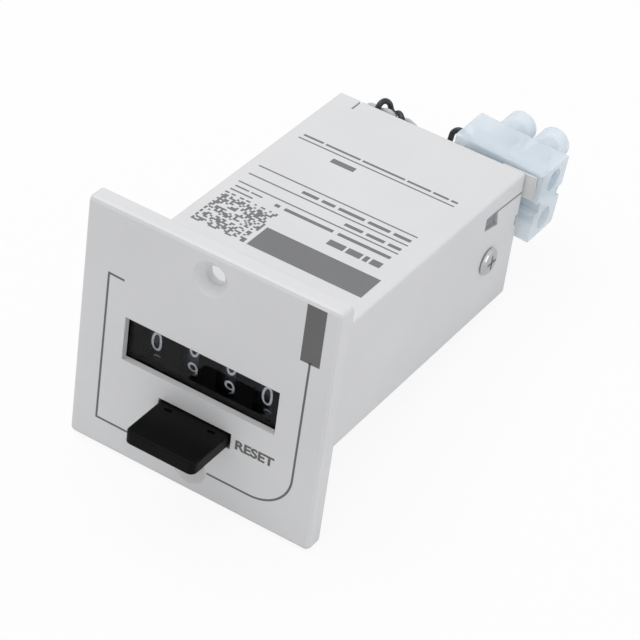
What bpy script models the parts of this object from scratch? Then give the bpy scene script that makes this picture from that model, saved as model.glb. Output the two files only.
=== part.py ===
"""Panel counter: impulse counter with four number wheels, a push-in reset key and a pulse magnet.

Metres, +Z up. The origin is the centre of the panel cut-out, in the plane of the panel's front
surface: the front plate lies at -Y and the housing reaches back along +Y.
"""
import math

import bmesh
import bpy
from mathutils import Matrix, Vector

MM = 0.001

# Front plate
PLATE_WIDTH = 45.0 * MM
PLATE_HEIGHT = 45.0 * MM
PLATE_THICKNESS = 3.0 * MM
PLATE_EDGE_BEVEL = 0.7 * MM
PLATE_CORNER_RADIUS = 0.8 * MM
SCREW_HOLE_SPACING = 35.6 * MM
SCREW_HOLE_RADIUS = 1.7 * MM
SCREW_HEAD_RADIUS = 3.1 * MM

# Sleeve behind the plate
SLEEVE_WIDTH = 35.8 * MM
SLEEVE_HEIGHT = 23.8 * MM
SLEEVE_DEPTH = 62.5 * MM
SLEEVE_WALL = 1.2 * MM
SLEEVE_EDGE_BEVEL = 0.5 * MM
SLEEVE_LOW_BEVEL = 0.15 * MM

# Window, pane and mask
WINDOW_WIDTH = 28.0 * MM
WINDOW_HEIGHT = 8.0 * MM
WINDOW_LIP = 1.15 * MM
PANE_MARGIN = 1.0 * MM
PANE_THICKNESS = 0.6 * MM
MASK_THICKNESS = 0.8 * MM
MASK_SLOT_WIDTH = 3.4 * MM
MASK_SLOT_HEIGHT = 7.0 * MM

# Number wheels
WHEEL_COUNT = 4
WHEEL_PITCH = 6.75 * MM
WHEEL_RADIUS = 7.5 * MM
WHEEL_RIM_WIDTH = 4.0 * MM
WHEEL_RIM_WALL = 1.1 * MM
WHEEL_WEB = 1.4 * MM
WHEEL_HUB_RADIUS = 2.6 * MM
WHEEL_DROP = 0.7 * MM
WHEEL_TO_MASK = 0.4 * MM
WHEEL_SHAFT_RADIUS = 1.0 * MM
GEAR_MODULE = 0.6 * MM
WHEEL_TEETH = 20
PINION_TEETH = 8
GEAR_THICKNESS = 0.75 * MM
CARRY_DISC_THICKNESS = 0.75 * MM
CARRY_DISC_RADIUS = 4.5 * MM
CARRY_LUG_HEIGHT = 0.6 * MM
HEART_THICKNESS = 0.5 * MM
HEART_RADIUS = 3.2 * MM
HEART_NOTCH_RADIUS = 1.7 * MM
RATCHET_TEETH = 10
RATCHET_RADIUS = 5.5 * MM
RATCHET_DEPTH = 1.3 * MM
RATCHET_THICKNESS = 1.1 * MM
PINION_SHAFT_RADIUS = 0.6 * MM
PINION_SHAFT_RISE = math.radians(35)
HALF_STEP = math.radians(18)
BACKLASH = 0.15 * MM

# Reset key, comb and spring
KEY_WIDTH = 12.7 * MM
KEY_THICKNESS = 2.45 * MM
KEY_REACH = 9.4 * MM
KEY_CORNER_RADIUS = 1.1 * MM
KEY_EDGE_BEVEL = 0.25 * MM
KEY_SIDE_GAP = 0.35 * MM
KEY_FLOOR_GAP = 0.25 * MM
KEY_FLANGE = 1.2 * MM
KEY_FLANGE_THICKNESS = 1.0 * MM
KEY_FLANGE_RISE = 0.4 * MM
KEY_TRAVEL = 3.0 * MM
KEY_DIMPLE_SPACING = 7.9 * MM
KEY_DIMPLE_LENGTH = 1.5 * MM
KEY_DIMPLE_WIDTH = 0.8 * MM
SLIDE_THICKNESS = 1.45 * MM
TAB_THICKNESS = 1.2 * MM
TAB_HEIGHT = 5.2 * MM
COMB_THICKNESS = 0.45 * MM
COMB_LENGTH = 3.0 * MM
COMB_SEAT_GAP = 0.12 * MM
FINGER_DEPTH = 1.2 * MM
RESET_SPRING_RADIUS = 1.9 * MM
RESET_SPRING_TURNS = 5

# Chassis
CHEEK_THICKNESS = 1.4 * MM
CHEEK_INNER_WIDTH = 28.4 * MM
CHASSIS_HEIGHT = 20.6 * MM
BULKHEAD_POSITION = 22.6 * MM
BULKHEAD_THICKNESS = 1.6 * MM
REAR_WALL_THICKNESS = 1.6 * MM
PAD_LENGTH = 3.0 * MM

# Pulse magnet
CORE_RADIUS = 3.0 * MM
CORE_THREAD_DEPTH = 6.0 * MM
CORE_SCREW_REACH = 5.0 * MM
CORE_SCREW_RADIUS = 1.3 * MM
CORE_SCREW_HEAD_RADIUS = 2.6 * MM
CORE_SCREW_HEAD_HEIGHT = 1.8 * MM
BULKHEAD_TO_POLE = 6.2 * MM
REAR_WALL_TO_COVER = 3.8 * MM
BOBBIN_SIZE = 17.0 * MM
BOBBIN_INSET = 0.6 * MM
BOBBIN_FLANGE = 1.0 * MM
BOBBIN_WALL = 0.9 * MM
WINDING_RADIUS = 7.8 * MM
YOKE_WIDTH = 13.0 * MM
YOKE_THICKNESS = 1.5 * MM
ARMATURE_THICKNESS = 1.4 * MM
ARMATURE_WIDTH = 14.0 * MM
ARMATURE_GAP = 1.4 * MM
ARMATURE_PIN_RADIUS = 0.6 * MM
ARMATURE_HINGE_RADIUS = 1.25 * MM
ARMATURE_TRAVEL = math.radians(5)
ANCHOR_THICKNESS = 0.8 * MM
ANCHOR_ARM = 1.8 * MM
ANCHOR_CLAW_RISE = 1.4 * MM
ANCHOR_PAWL_GAP = 0.7 * MM
ARMATURE_SPRING_TURNS = 4
ARMATURE_SPRING_WIRE = 0.2 * MM
ARMATURE_SPRING_LENGTH = 2.4 * MM
ARMATURE_SPRING_LEG = 5.0 * MM

# Rear cover and side screws
COVER_THICKNESS = 2.0 * MM
EAR_REACH = 1.9 * MM
EAR_HEIGHT = 4.6 * MM
EAR_ROOT_WIDTH = 3.0 * MM
SIDE_SCREW_TO_REAR = 8.95 * MM
SIDE_SCREW_DROP = 0.65 * MM
SIDE_SCREW_RADIUS = 1.0 * MM
SIDE_SCREW_HEAD_RADIUS = 2.4 * MM
SIDE_SCREW_HEAD_HEIGHT = 0.75 * MM

# Openings in the sleeve's right side and top
LATCH_LENGTH = 4.4 * MM
LATCH_TO_REAR = 7.5 * MM
LATCH_LOW = 6.2 * MM
LATCH_NOSE_GAP = 1.1 * MM
LATCH_NOSE_INSET = 0.3 * MM
SLIT_HEIGHT = 8.8 * MM
SLIT_FALL = 0.6 * MM
SLIT_WIDTH = 0.45 * MM
NOTCH_LENGTH = 0.8 * MM
NOTCH_LOW = 2.0 * MM
NOTCH_HEIGHT = 2.0 * MM
TOP_SLIT_LENGTH = 3.0 * MM
TOP_SLIT_WIDTH = 0.35 * MM
TOP_SLIT_INSET = 4.25 * MM

# Terminal strip
STRIP_LENGTH = 16.75 * MM
STRIP_CENTRE_X = 12.1 * MM
STRIP_CENTRE_Z = 5.9 * MM
STRIP_GAP = 0.85 * MM
STRIP_LEAN = math.radians(3.4)
STRIP_EDGE_RADIUS = 0.35 * MM
POLE_PITCH = 7.8 * MM
POLE_SIZE = 5.8 * MM
STRIP_BASE = 8.7 * MM
TOWER_RADIUS = 2.75 * MM
TOWER_HEIGHT = 5.6 * MM
TOWER_PITCH = 6.36 * MM
SLEEVE_BORE_HEIGHT = 4.6 * MM
BRASS_RADIUS = 1.8 * MM
BRASS_BORE = 1.3 * MM
BRASS_LENGTH = 13.5 * MM
CLAMP_SCREW_RADIUS = 1.2 * MM
CLAMP_HEAD_RADIUS = 1.75 * MM
CLAMP_HEAD_HEIGHT = 1.6 * MM
STRIP_SCREW_RADIUS = 0.9 * MM
STRIP_SCREW_HEAD_RADIUS = 1.7 * MM

# Leads
LEAD_RADIUS = 0.5 * MM
LEAD_SPACING = 2.2 * MM
LEAD_EXIT_X = -11.5 * MM
LEAD_EXIT_Z = 6.5 * MM
# Routes in lead diameters: first from the sleeve's top rear edge above the exit, then from the strip's mouth
BLACK_ROUTE = (
    (0.87, 1.35, -4.51), (0.16, 1.23, -2.02), (0.32, 1.65, -0.74), (0.38, 2.32, -0.22),
    (0.67, 3.29, -0.2), (0.88, 4.46, -1.21), (1.33, 4.5, -2.15), (2.24, 3.94, -2.38),
    (3.7, 2.94, -1.18), (4.92, 2.08, -1.64), (5.42, 2.2, -3.73), (5.78, 3.65, -4.98),
    (7.16, 4.24, -5.91), (9.72, 4.15, -6.01),
)
BLACK_ARRIVAL = (
    (-3.58, -0.93, -3.4), (-2.68, -0.73, -1.9), (-2.42, -0.56, -0.2), (-1.75, -0.35, 0.55),
    (-0.88, -0.13, 0.6),
)
GREY_ROUTE = (
    (-1.5, 1.35, -4.7), (-2.34, 2.18, -3.19), (-2.14, 2.5, -2.24), (-1.52, 2.57, -1.73),
    (-0.6, 2.47, -1.66), (0.44, 2.41, -1.75), (1.97, 1.99, -1.06), (2.88, 1.91, -1.23),
    (3.52, 2.23, -2.07), (4.08, 3.19, -2.44), (4.46, 3.62, -2.53), (5.25, 4.11, -2.82),
    (6.86, 3.91, -3.78), (7.09, 2.62, -6.51), (8.47, 3.33, -8.92),
)
GREY_ARRIVAL = (
    (-4.02, -1.13, -0.92), (-1.72, -0.33, -0.72),
)

# Clearances
SEAT_GAP = 0.2 * MM
RUNNING_GAP = 0.08 * MM
OPEN_GAP = 0.3 * MM
OVERSHOOT = 1.0 * MM

# Places worked out from the sizes
PLATE_FRONT = -PLATE_THICKNESS
INNER_X = SLEEVE_WIDTH / 2 - SLEEVE_WALL
INNER_Z = SLEEVE_HEIGHT / 2 - SLEEVE_WALL
POCKET_FRONT = PLATE_FRONT + WINDOW_LIP
PANE_FRONT = POCKET_FRONT + SEAT_GAP
MASK_FRONT = PANE_FRONT + PANE_THICKNESS + SEAT_GAP
MASK_REAR = MASK_FRONT + MASK_THICKNESS
WHEEL_Y = MASK_REAR + WHEEL_TO_MASK + WHEEL_RADIUS
WHEEL_Z = -WHEEL_DROP
GEAR_PITCH_RADIUS = GEAR_MODULE * WHEEL_TEETH / 2
PINION_PITCH_RADIUS = GEAR_MODULE * PINION_TEETH / 2
MESH_DISTANCE = GEAR_PITCH_RADIUS + PINION_PITCH_RADIUS + BACKLASH
PINION_Y = WHEEL_Y + MESH_DISTANCE * math.cos(PINION_SHAFT_RISE)
PINION_Z = WHEEL_Z + MESH_DISTANCE * math.sin(PINION_SHAFT_RISE)
KEY_LOW = -INNER_Z + KEY_FLOOR_GAP
KEY_HIGH = KEY_LOW + KEY_THICKNESS
SLOT_HIGH = KEY_HIGH + KEY_FLOOR_GAP
SLIDE_HIGH = KEY_LOW + SLIDE_THICKNESS
KEY_FLANGE_FRONT = SEAT_GAP
KEY_FLANGE_REAR = KEY_FLANGE_FRONT + KEY_FLANGE_THICKNESS
TAB_FRONT = WHEEL_Y + WHEEL_RADIUS - 0.5 * MM
TAB_REAR = TAB_FRONT + TAB_THICKNESS
SPRING_Z = KEY_LOW + TAB_HEIGHT / 2 + 1.0 * MM
LATCH_REAR = SLEEVE_DEPTH - LATCH_TO_REAR
LATCH_FRONT = LATCH_REAR - LATCH_LENGTH
CHEEK_INNER = CHEEK_INNER_WIDTH / 2
CHEEK_OUTER = CHEEK_INNER + CHEEK_THICKNESS
CHASSIS_HALF = CHASSIS_HEIGHT / 2
POLE_POSITION = BULKHEAD_POSITION + BULKHEAD_THICKNESS + BULKHEAD_TO_POLE
HINGE_Y = POLE_POSITION - ARMATURE_GAP - ARMATURE_THICKNESS / 2
HINGE_Z = CHASSIS_HALF - ARMATURE_HINGE_RADIUS + 0.1 * MM
MAGNET_Z = WHEEL_Z
SIDE_SCREW_POSITION = SLEEVE_DEPTH - SIDE_SCREW_TO_REAR
YOKE_TOP = INNER_Z - OPEN_GAP
COVER_REAR = SLEEVE_DEPTH - SEAT_GAP
COVER_FRONT = COVER_REAR - COVER_THICKNESS
CHASSIS_REAR = COVER_FRONT - OPEN_GAP
REAR_WALL_POSITION = COVER_FRONT - REAR_WALL_TO_COVER - REAR_WALL_THICKNESS
YOKE_REAR_FRONT = REAR_WALL_POSITION - SEAT_GAP - YOKE_THICKNESS
CORE_END = YOKE_REAR_FRONT - SEAT_GAP
BOBBIN_FRONT = POLE_POSITION + BOBBIN_INSET
BOBBIN_REAR = CORE_END - BOBBIN_INSET
BOBBIN_LENGTH = BOBBIN_REAR - BOBBIN_FRONT
STRIP_FRONT = SLEEVE_DEPTH + STRIP_GAP
TUBE_Y = STRIP_FRONT + SLEEVE_BORE_HEIGHT
TOWER_END = STRIP_FRONT + STRIP_BASE + TOWER_HEIGHT
WHEEL_NAMES = ("units", "tens", "hundreds", "thousands")


def wheel_x(index):
    """Centre of a number wheel, counted from the units wheel on the right."""
    return ((WHEEL_COUNT - 1) / 2 - index) * WHEEL_PITCH


def clear_scene():
    for obj in list(bpy.data.objects):
        bpy.data.objects.remove(obj, do_unlink=True)


def new_collection(name):
    collection = bpy.data.collections.new(name)
    bpy.context.scene.collection.children.link(collection)
    return collection


clear_scene()
PARTS = new_collection("panel_counter")
CUTTERS = new_collection("cutters")


def material(name, colour, roughness, metallic=0.0, transmission=0.0):
    mat = bpy.data.materials.new(name)
    mat.use_nodes = True
    shader = mat.node_tree.nodes["Principled BSDF"]
    shader.inputs["Base Color"].default_value = (*colour, 1.0)
    shader.inputs["Roughness"].default_value = roughness
    shader.inputs["Metallic"].default_value = metallic
    shader.inputs["Transmission Weight"].default_value = transmission
    return mat


WHITE_PLASTIC = material("white_plastic", (0.72, 0.72, 0.73), 0.45)
BLACK_PLASTIC = material("black_plastic", (0.012, 0.013, 0.015), 0.4)
WHEEL_PLASTIC = material("wheel_plastic", (0.05, 0.048, 0.056), 0.5)
CLEAR_PLASTIC = material("clear_plastic", (0.95, 0.96, 0.97), 0.05, 0.0, 0.9)
STRIP_PLASTIC = material("strip_plastic", (0.70, 0.80, 0.90), 0.35, 0.0, 0.5)
FRAME_PLASTIC = material("frame_plastic", (0.12, 0.12, 0.13), 0.5)
STEEL = material("steel", (0.62, 0.62, 0.63), 0.3, 1.0)
SOFT_IRON = material("soft_iron", (0.45, 0.45, 0.46), 0.45, 1.0)
BRASS = material("brass", (0.80, 0.60, 0.28), 0.35, 1.0)
PINION_PLASTIC = material("pinion_plastic", (0.75, 0.72, 0.62), 0.45)
COIL_TAPE = material("coil_tape", (0.55, 0.28, 0.08), 0.4)
BLACK_INSULATION = material("black_insulation", (0.015, 0.016, 0.02), 0.45)
GREY_INSULATION = material("grey_insulation", (0.42, 0.45, 0.46), 0.5)

AXIS_TURN = {
    "X": Matrix.Rotation(math.pi / 2, 4, "Y"),
    "Y": Matrix.Rotation(-math.pi / 2, 4, "X"),
    "Z": Matrix.Identity(4),
}
OUTLINE_TURN = {
    "X": Matrix(((0, 0, 1, 0), (1, 0, 0, 0), (0, 1, 0, 0), (0, 0, 0, 1))),
    "Y": Matrix(((1, 0, 0, 0), (0, 0, -1, 0), (0, 1, 0, 0), (0, 0, 0, 1))),
    "Z": Matrix.Identity(4),
}


def object_from_bmesh(name, bm, location, mat=None):
    """Turns a bmesh into an object of the part, with its origin at location."""
    bmesh.ops.recalc_face_normals(bm, faces=bm.faces)
    mesh = bpy.data.meshes.new(name)
    bm.to_mesh(mesh)
    bm.free()
    obj = bpy.data.objects.new(name, mesh)
    obj.location = location
    PARTS.objects.link(obj)
    if mat is not None:
        mesh.materials.append(mat)
    return obj


def smooth(obj, angle=35):
    obj.data.shade_smooth()
    obj.data.set_sharp_from_angle(angle=math.radians(angle))
    return obj


def block(name, low, high, mat=None):
    """Box between two corners, with its origin at its centre."""
    low, high = Vector(low), Vector(high)
    bm = bmesh.new()
    bmesh.ops.create_cube(bm, size=1.0)
    bmesh.ops.scale(bm, vec=high - low, verts=bm.verts)
    return object_from_bmesh(name, bm, (low + high) / 2, mat)


def round_edges(obj, test, offset, segments=1):
    """Bevels the edges whose middle and direction pass the test."""
    bm = bmesh.new()
    bm.from_mesh(obj.data)
    chosen = []
    for edge in bm.edges:
        a, b = (vert.co for vert in edge.verts)
        if test((a + b) / 2, (b - a).normalized()):
            chosen.append(edge)
    bmesh.ops.bevel(bm, geom=chosen, offset=offset, segments=segments, profile=0.5, affect="EDGES")
    bm.to_mesh(obj.data)
    bm.free()
    return obj


def cylinder(name, radius, centre, length, axis="Z", segments=24, mat=None, phase=0.0):
    bm = bmesh.new()
    bmesh.ops.create_cone(bm, cap_ends=True, segments=segments, radius1=radius, radius2=radius, depth=length)
    turn = AXIS_TURN[axis] @ Matrix.Rotation(phase, 4, "Z")
    bmesh.ops.transform(bm, matrix=turn, verts=bm.verts)
    return smooth(object_from_bmesh(name, bm, centre, mat))


def mesh_copy(source, name, location, turn, mat):
    """Replaces a curve or a modified object by a welded mesh, turned to its axis."""
    depsgraph = bpy.context.evaluated_depsgraph_get()
    mesh = bpy.data.meshes.new_from_object(source.evaluated_get(depsgraph))
    bpy.data.objects.remove(source, do_unlink=True)
    bm = bmesh.new()
    bm.from_mesh(mesh)
    bpy.data.meshes.remove(mesh)
    bmesh.ops.remove_doubles(bm, verts=bm.verts, dist=0.000001)
    bmesh.ops.transform(bm, matrix=turn, verts=bm.verts)
    return object_from_bmesh(name, bm, location, mat)


def revolve(name, profile, centre, axis="Z", segments=32, mat=None, closed=True):
    """Turns a profile of (radius, height) points about an axis through centre."""
    mesh = bpy.data.meshes.new(name)
    count = len(profile)
    edges = [(i, i + 1) for i in range(count - 1)]
    if closed:
        edges.append((count - 1, 0))
    mesh.from_pydata([(radius, 0.0, height) for radius, height in profile], edges, [])
    obj = bpy.data.objects.new(name, mesh)
    PARTS.objects.link(obj)
    screw = obj.modifiers.new("turn", "SCREW")
    screw.axis = "Z"
    screw.angle = math.tau
    screw.steps = segments
    screw.render_steps = segments
    screw.use_merge_vertices = True
    screw.merge_threshold = 0.000005
    return smooth(mesh_copy(obj, name, centre, AXIS_TURN[axis], mat))


def outline(name, points, thickness, centre, axis="Z", mat=None):
    """Flat plate cut to an outline, centred on its thickness; axis is the way it is thick."""
    curve = bpy.data.curves.new(name, "CURVE")
    curve.dimensions = "2D"
    curve.fill_mode = "BOTH"
    curve.extrude = thickness / 2
    spline = curve.splines.new("POLY")
    spline.points.add(len(points) - 1)
    for point, (u, v) in zip(spline.points, points):
        point.co = (u, v, 0.0, 1.0)
    spline.use_cyclic_u = True
    obj = bpy.data.objects.new(name, curve)
    PARTS.objects.link(obj)
    bpy.context.view_layer.update()
    return mesh_copy(obj, name, centre, OUTLINE_TURN[axis], mat)


def tube(name, points, radius, resolution=2, mat=None):
    """Round wire along a list of points."""
    curve = bpy.data.curves.new(name, "CURVE")
    curve.dimensions = "3D"
    curve.bevel_depth = radius
    curve.bevel_resolution = resolution
    curve.use_fill_caps = True
    spline = curve.splines.new("POLY")
    spline.points.add(len(points) - 1)
    for point, place in zip(spline.points, points):
        point.co = (*place, 1.0)
    obj = bpy.data.objects.new(name, curve)
    PARTS.objects.link(obj)
    bpy.context.view_layer.update()
    return smooth(mesh_copy(obj, name, (0, 0, 0), AXIS_TURN["Z"], mat), 60)


def apply_boolean(target, others, operation):
    for other in others:
        for collection in list(other.users_collection):
            collection.objects.unlink(other)
        CUTTERS.objects.link(other)
        other.hide_render = True
        other.display_type = "WIRE"
        modifier = target.modifiers.new(operation.lower(), "BOOLEAN")
        modifier.operation = operation
        modifier.solver = "EXACT"
        modifier.object = other
    return target


def cut(target, *others):
    return apply_boolean(target, others, "DIFFERENCE")


def fuse(target, *others):
    return apply_boolean(target, others, "UNION")


def build_housing():
    """Front plate and sleeve, one moulding that is open at the rear."""
    half_w, half_h = PLATE_WIDTH / 2, PLATE_HEIGHT / 2
    sleeve_x, sleeve_z = SLEEVE_WIDTH / 2, SLEEVE_HEIGHT / 2
    housing = block("housing", (-half_w, PLATE_FRONT, -half_h), (half_w, 0, half_h), WHITE_PLASTIC)
    round_edges(housing, lambda mid, way: abs(way.y) > 0.9, PLATE_CORNER_RADIUS, 3)
    round_edges(housing, lambda mid, way: mid.y < -0.49 * PLATE_THICKNESS and abs(way.y) < 0.1,
                PLATE_EDGE_BEVEL, 2)

    sleeve = block("sleeve", (-sleeve_x, PLATE_FRONT / 2, -sleeve_z), (sleeve_x, SLEEVE_DEPTH, sleeve_z))
    round_edges(sleeve, lambda mid, way: abs(way.y) > 0.9 and mid.z > 0, SLEEVE_EDGE_BEVEL, 2)
    round_edges(sleeve, lambda mid, way: abs(way.y) > 0.9 and mid.z < -0.49 * SLEEVE_HEIGHT, SLEEVE_LOW_BEVEL, 1)
    cavity = block("cavity", (-INNER_X, 0, -INNER_Z), (INNER_X, SLEEVE_DEPTH + OVERSHOOT, INNER_Z))
    pocket_x = WINDOW_WIDTH / 2 + PANE_MARGIN + SEAT_GAP
    pocket_z = WINDOW_HEIGHT / 2 + PANE_MARGIN + SEAT_GAP
    pocket = block("pane_pocket", (-pocket_x, POCKET_FRONT, -pocket_z), (pocket_x, OVERSHOOT, pocket_z))
    window = block("window", (-WINDOW_WIDTH / 2, PLATE_FRONT - OVERSHOOT, -WINDOW_HEIGHT / 2),
                   (WINDOW_WIDTH / 2, OVERSHOOT / 2, WINDOW_HEIGHT / 2))
    slot_x = KEY_WIDTH / 2 + KEY_SIDE_GAP
    key_slot = block("key_slot", (-slot_x, PLATE_FRONT - OVERSHOOT, -INNER_Z), (slot_x, OVERSHOOT, SLOT_HIGH))
    fuse(housing, sleeve)
    cut(housing, cavity, pocket, window, key_slot)

    sink = SCREW_HEAD_RADIUS - SCREW_HOLE_RADIUS
    for side in (-1, 1):
        profile = [
            (0, OVERSHOOT),
            (SCREW_HOLE_RADIUS, OVERSHOOT),
            (SCREW_HOLE_RADIUS, PLATE_FRONT + sink),
            (SCREW_HEAD_RADIUS, PLATE_FRONT),
            (SCREW_HEAD_RADIUS, PLATE_FRONT - OVERSHOOT),
            (0, PLATE_FRONT - OVERSHOOT),
        ]
        cut(housing, revolve("screw_hole", profile, (0, 0, side * SCREW_HOLE_SPACING / 2), "Y", 28, None, False))

    wall_from = sleeve_x - SLEEVE_WALL - OVERSHOOT
    wall_to = sleeve_x + OVERSHOOT
    latch = outline("latch_opening", [
        (LATCH_FRONT, LATCH_LOW + 0.4 * MM),
        (LATCH_REAR, LATCH_LOW - 0.4 * MM),
        (LATCH_REAR - 0.7 * MM, SLIT_HEIGHT + SLIT_WIDTH / 2),
        (LATCH_FRONT, SLIT_HEIGHT + SLIT_WIDTH / 2),
    ], wall_to - wall_from, ((wall_from + wall_to) / 2, 0, 0), "X")
    slit_start = LATCH_REAR - LATCH_LENGTH / 3
    slit_end = SLEEVE_DEPTH + OVERSHOOT
    slit = outline("side_slit", [
        (slit_start, SLIT_HEIGHT - SLIT_WIDTH / 2),
        (slit_end, SLIT_HEIGHT - SLIT_FALL - SLIT_WIDTH / 2),
        (slit_end, SLIT_HEIGHT - SLIT_FALL + SLIT_WIDTH / 2),
        (slit_start, SLIT_HEIGHT + SLIT_WIDTH / 2),
    ], wall_to - wall_from, ((wall_from + wall_to) / 2, 0, 0), "X")
    notch = block("side_notch", (wall_from, SLEEVE_DEPTH - NOTCH_LENGTH, NOTCH_LOW),
                  (wall_to, SLEEVE_DEPTH + OVERSHOOT, NOTCH_LOW + NOTCH_HEIGHT))
    slit_x = -sleeve_x + TOP_SLIT_INSET
    top_slit = block("top_slit", (slit_x - TOP_SLIT_WIDTH / 2, SLEEVE_DEPTH - TOP_SLIT_LENGTH, INNER_Z - OVERSHOOT),
                     (slit_x + TOP_SLIT_WIDTH / 2, SLEEVE_DEPTH + OVERSHOOT, sleeve_z + OVERSHOOT))
    cut(housing, latch, slit, notch, top_slit)
    for side in (-1, 1):
        middle = (side * (sleeve_x - SLEEVE_WALL / 2), SIDE_SCREW_POSITION, -SIDE_SCREW_DROP)
        cut(housing, cylinder("side_hole", SIDE_SCREW_RADIUS + SEAT_GAP, middle, SLEEVE_WALL + OVERSHOOT, "X", 20))


def build_window():
    """Clear pane and black mask behind the window."""
    half_x = WINDOW_WIDTH / 2 + PANE_MARGIN
    half_z = WINDOW_HEIGHT / 2 + PANE_MARGIN
    block("window_pane", (-half_x, PANE_FRONT, -half_z), (half_x, PANE_FRONT + PANE_THICKNESS, half_z),
          CLEAR_PLASTIC)
    mask = block("digit_mask", (-half_x, MASK_FRONT, -half_z), (half_x, MASK_REAR, half_z), BLACK_PLASTIC)
    for index in range(WHEEL_COUNT):
        x = wheel_x(index)
        cut(mask, block("digit_slot", (x - MASK_SLOT_WIDTH / 2, MASK_FRONT - OVERSHOOT, -MASK_SLOT_HEIGHT / 2),
                        (x + MASK_SLOT_WIDTH / 2, MASK_REAR + OVERSHOOT, MASK_SLOT_HEIGHT / 2)))


def gear_outline(teeth, root, tip, root_width, tip_width, phase=0.0):
    """Gear outline with tapered teeth; the widths are shares of one tooth's angle."""
    points = []
    step = math.tau / teeth
    for tooth in range(teeth):
        middle = phase + tooth * step
        for radius, width in ((root, -root_width), (tip, -tip_width), (tip, tip_width), (root, root_width)):
            angle = middle + width * step / 2
            points.append((radius * math.cos(angle), radius * math.sin(angle)))
    return points


def ratchet_outline(teeth, tip, depth, phase=0.0):
    points = []
    step = math.tau / teeth
    for tooth in range(teeth):
        for radius, share in ((tip, 0.0), (tip, 0.12), (tip - depth, 0.42), (tip - depth, 0.88)):
            angle = phase + (tooth + share) * step
            points.append((radius * math.cos(angle), radius * math.sin(angle)))
    return points


def heart_outline(notch, tip, phase, count=18):
    """Heart cam: the radius grows evenly from the notch to the point opposite it."""
    points = []
    for index in range(count):
        turn = index / count
        radius = notch + (tip - notch) * (1 - abs(1 - 2 * turn))
        angle = phase + turn * math.tau
        points.append((radius * math.cos(angle), radius * math.sin(angle)))
    return points


def carry_outline(phase):
    """Locking disc with the two lugs that carry one step to the next wheel."""
    lug = CARRY_DISC_RADIUS + CARRY_LUG_HEIGHT
    points = []
    count = 26
    for index in range(count):
        angle = phase + index / count * math.tau
        radius = lug if index in (0, 3) else CARRY_DISC_RADIUS
        points.append((radius * math.cos(angle), radius * math.sin(angle)))
    return points


def build_number_wheel(index):
    """Rim, web and hub with the gear, heart cam and carry disc moulded on."""
    name = "number_wheel_" + WHEEL_NAMES[index]
    x = wheel_x(index)
    half = WHEEL_RIM_WIDTH / 2
    bore = WHEEL_SHAFT_RADIUS + RUNNING_GAP
    inner = WHEEL_RADIUS - WHEEL_RIM_WALL
    profile = [
        (0, half),
        (WHEEL_HUB_RADIUS, half),
        (WHEEL_HUB_RADIUS, WHEEL_WEB / 2),
        (inner, WHEEL_WEB / 2),
        (inner, half),
        (WHEEL_RADIUS, half),
        (WHEEL_RADIUS, -half),
        (0, -half),
    ]
    wheel = revolve(name, profile, (x, WHEEL_Y, WHEEL_Z), "X", 40, WHEEL_PLASTIC, False)
    overlap = 0.2 * MM
    step = HALF_STEP if index in (1, 2) else 0.0
    if index == 0:
        thickness = RATCHET_THICKNESS
        points = ratchet_outline(RATCHET_TEETH, RATCHET_RADIUS, RATCHET_DEPTH)
    else:
        thickness = GEAR_THICKNESS
        tip = GEAR_PITCH_RADIUS + 0.95 * GEAR_MODULE
        root = GEAR_PITCH_RADIUS - 1.25 * GEAR_MODULE
        points = gear_outline(WHEEL_TEETH, root, tip, 0.66, 0.2, PINION_SHAFT_RISE)
    middle = x + half + (thickness - overlap) / 2
    gear = outline("wheel_gear", points, thickness + overlap, (middle, WHEEL_Y, WHEEL_Z), "X")
    fuse(wheel, gear)

    left = x - half
    if index < WHEEL_COUNT - 1:
        middle = left - (CARRY_DISC_THICKNESS - overlap) / 2
        carry = outline("carry_disc", carry_outline(math.radians(-88)), CARRY_DISC_THICKNESS + overlap,
                        (middle, WHEEL_Y, WHEEL_Z), "X")
        fuse(wheel, carry)
        left -= CARRY_DISC_THICKNESS
    middle = left - (HEART_THICKNESS - overlap) / 2
    heart = outline("heart_cam", heart_outline(HEART_NOTCH_RADIUS, HEART_RADIUS, math.pi + step),
                    HEART_THICKNESS + overlap, (middle, WHEEL_Y, WHEEL_Z), "X")
    fuse(wheel, heart)
    drill = cylinder("wheel_bore", bore, (x, WHEEL_Y, WHEEL_Z), 2 * WHEEL_PITCH, "X", 24, None, 0.11)
    cut(wheel, drill)


def heart_plane(index):
    """X of the middle of a wheel's heart cam."""
    left = wheel_x(index) - WHEEL_RIM_WIDTH / 2 - HEART_THICKNESS / 2
    if index < WHEEL_COUNT - 1:
        left -= CARRY_DISC_THICKNESS
    return left


def build_pinion(index):
    """Pinion between wheel index and the next: long part on the gear, short part over the carry disc."""
    right = wheel_x(index) - WHEEL_RIM_WIDTH / 2 - OPEN_GAP / 2
    left = wheel_x(index + 1) + WHEEL_RIM_WIDTH / 2 + OPEN_GAP / 2
    tip = PINION_PITCH_RADIUS + 0.8 * GEAR_MODULE
    root = PINION_PITCH_RADIUS - 1.15 * GEAR_MODULE
    phase = PINION_SHAFT_RISE + math.pi + math.pi / PINION_TEETH
    points = gear_outline(PINION_TEETH, root, tip, 0.72, 0.2, phase)
    pinion = outline("transfer_pinion_%d" % (index + 1), points, right - left,
                     ((left + right) / 2, PINION_Y, PINION_Z), "X", PINION_PLASTIC)
    drill = cylinder("pinion_bore", PINION_SHAFT_RADIUS + RUNNING_GAP, ((left + right) / 2, PINION_Y, PINION_Z),
                     2 * WHEEL_PITCH, "X", 20)
    cut(pinion, drill)


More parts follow.
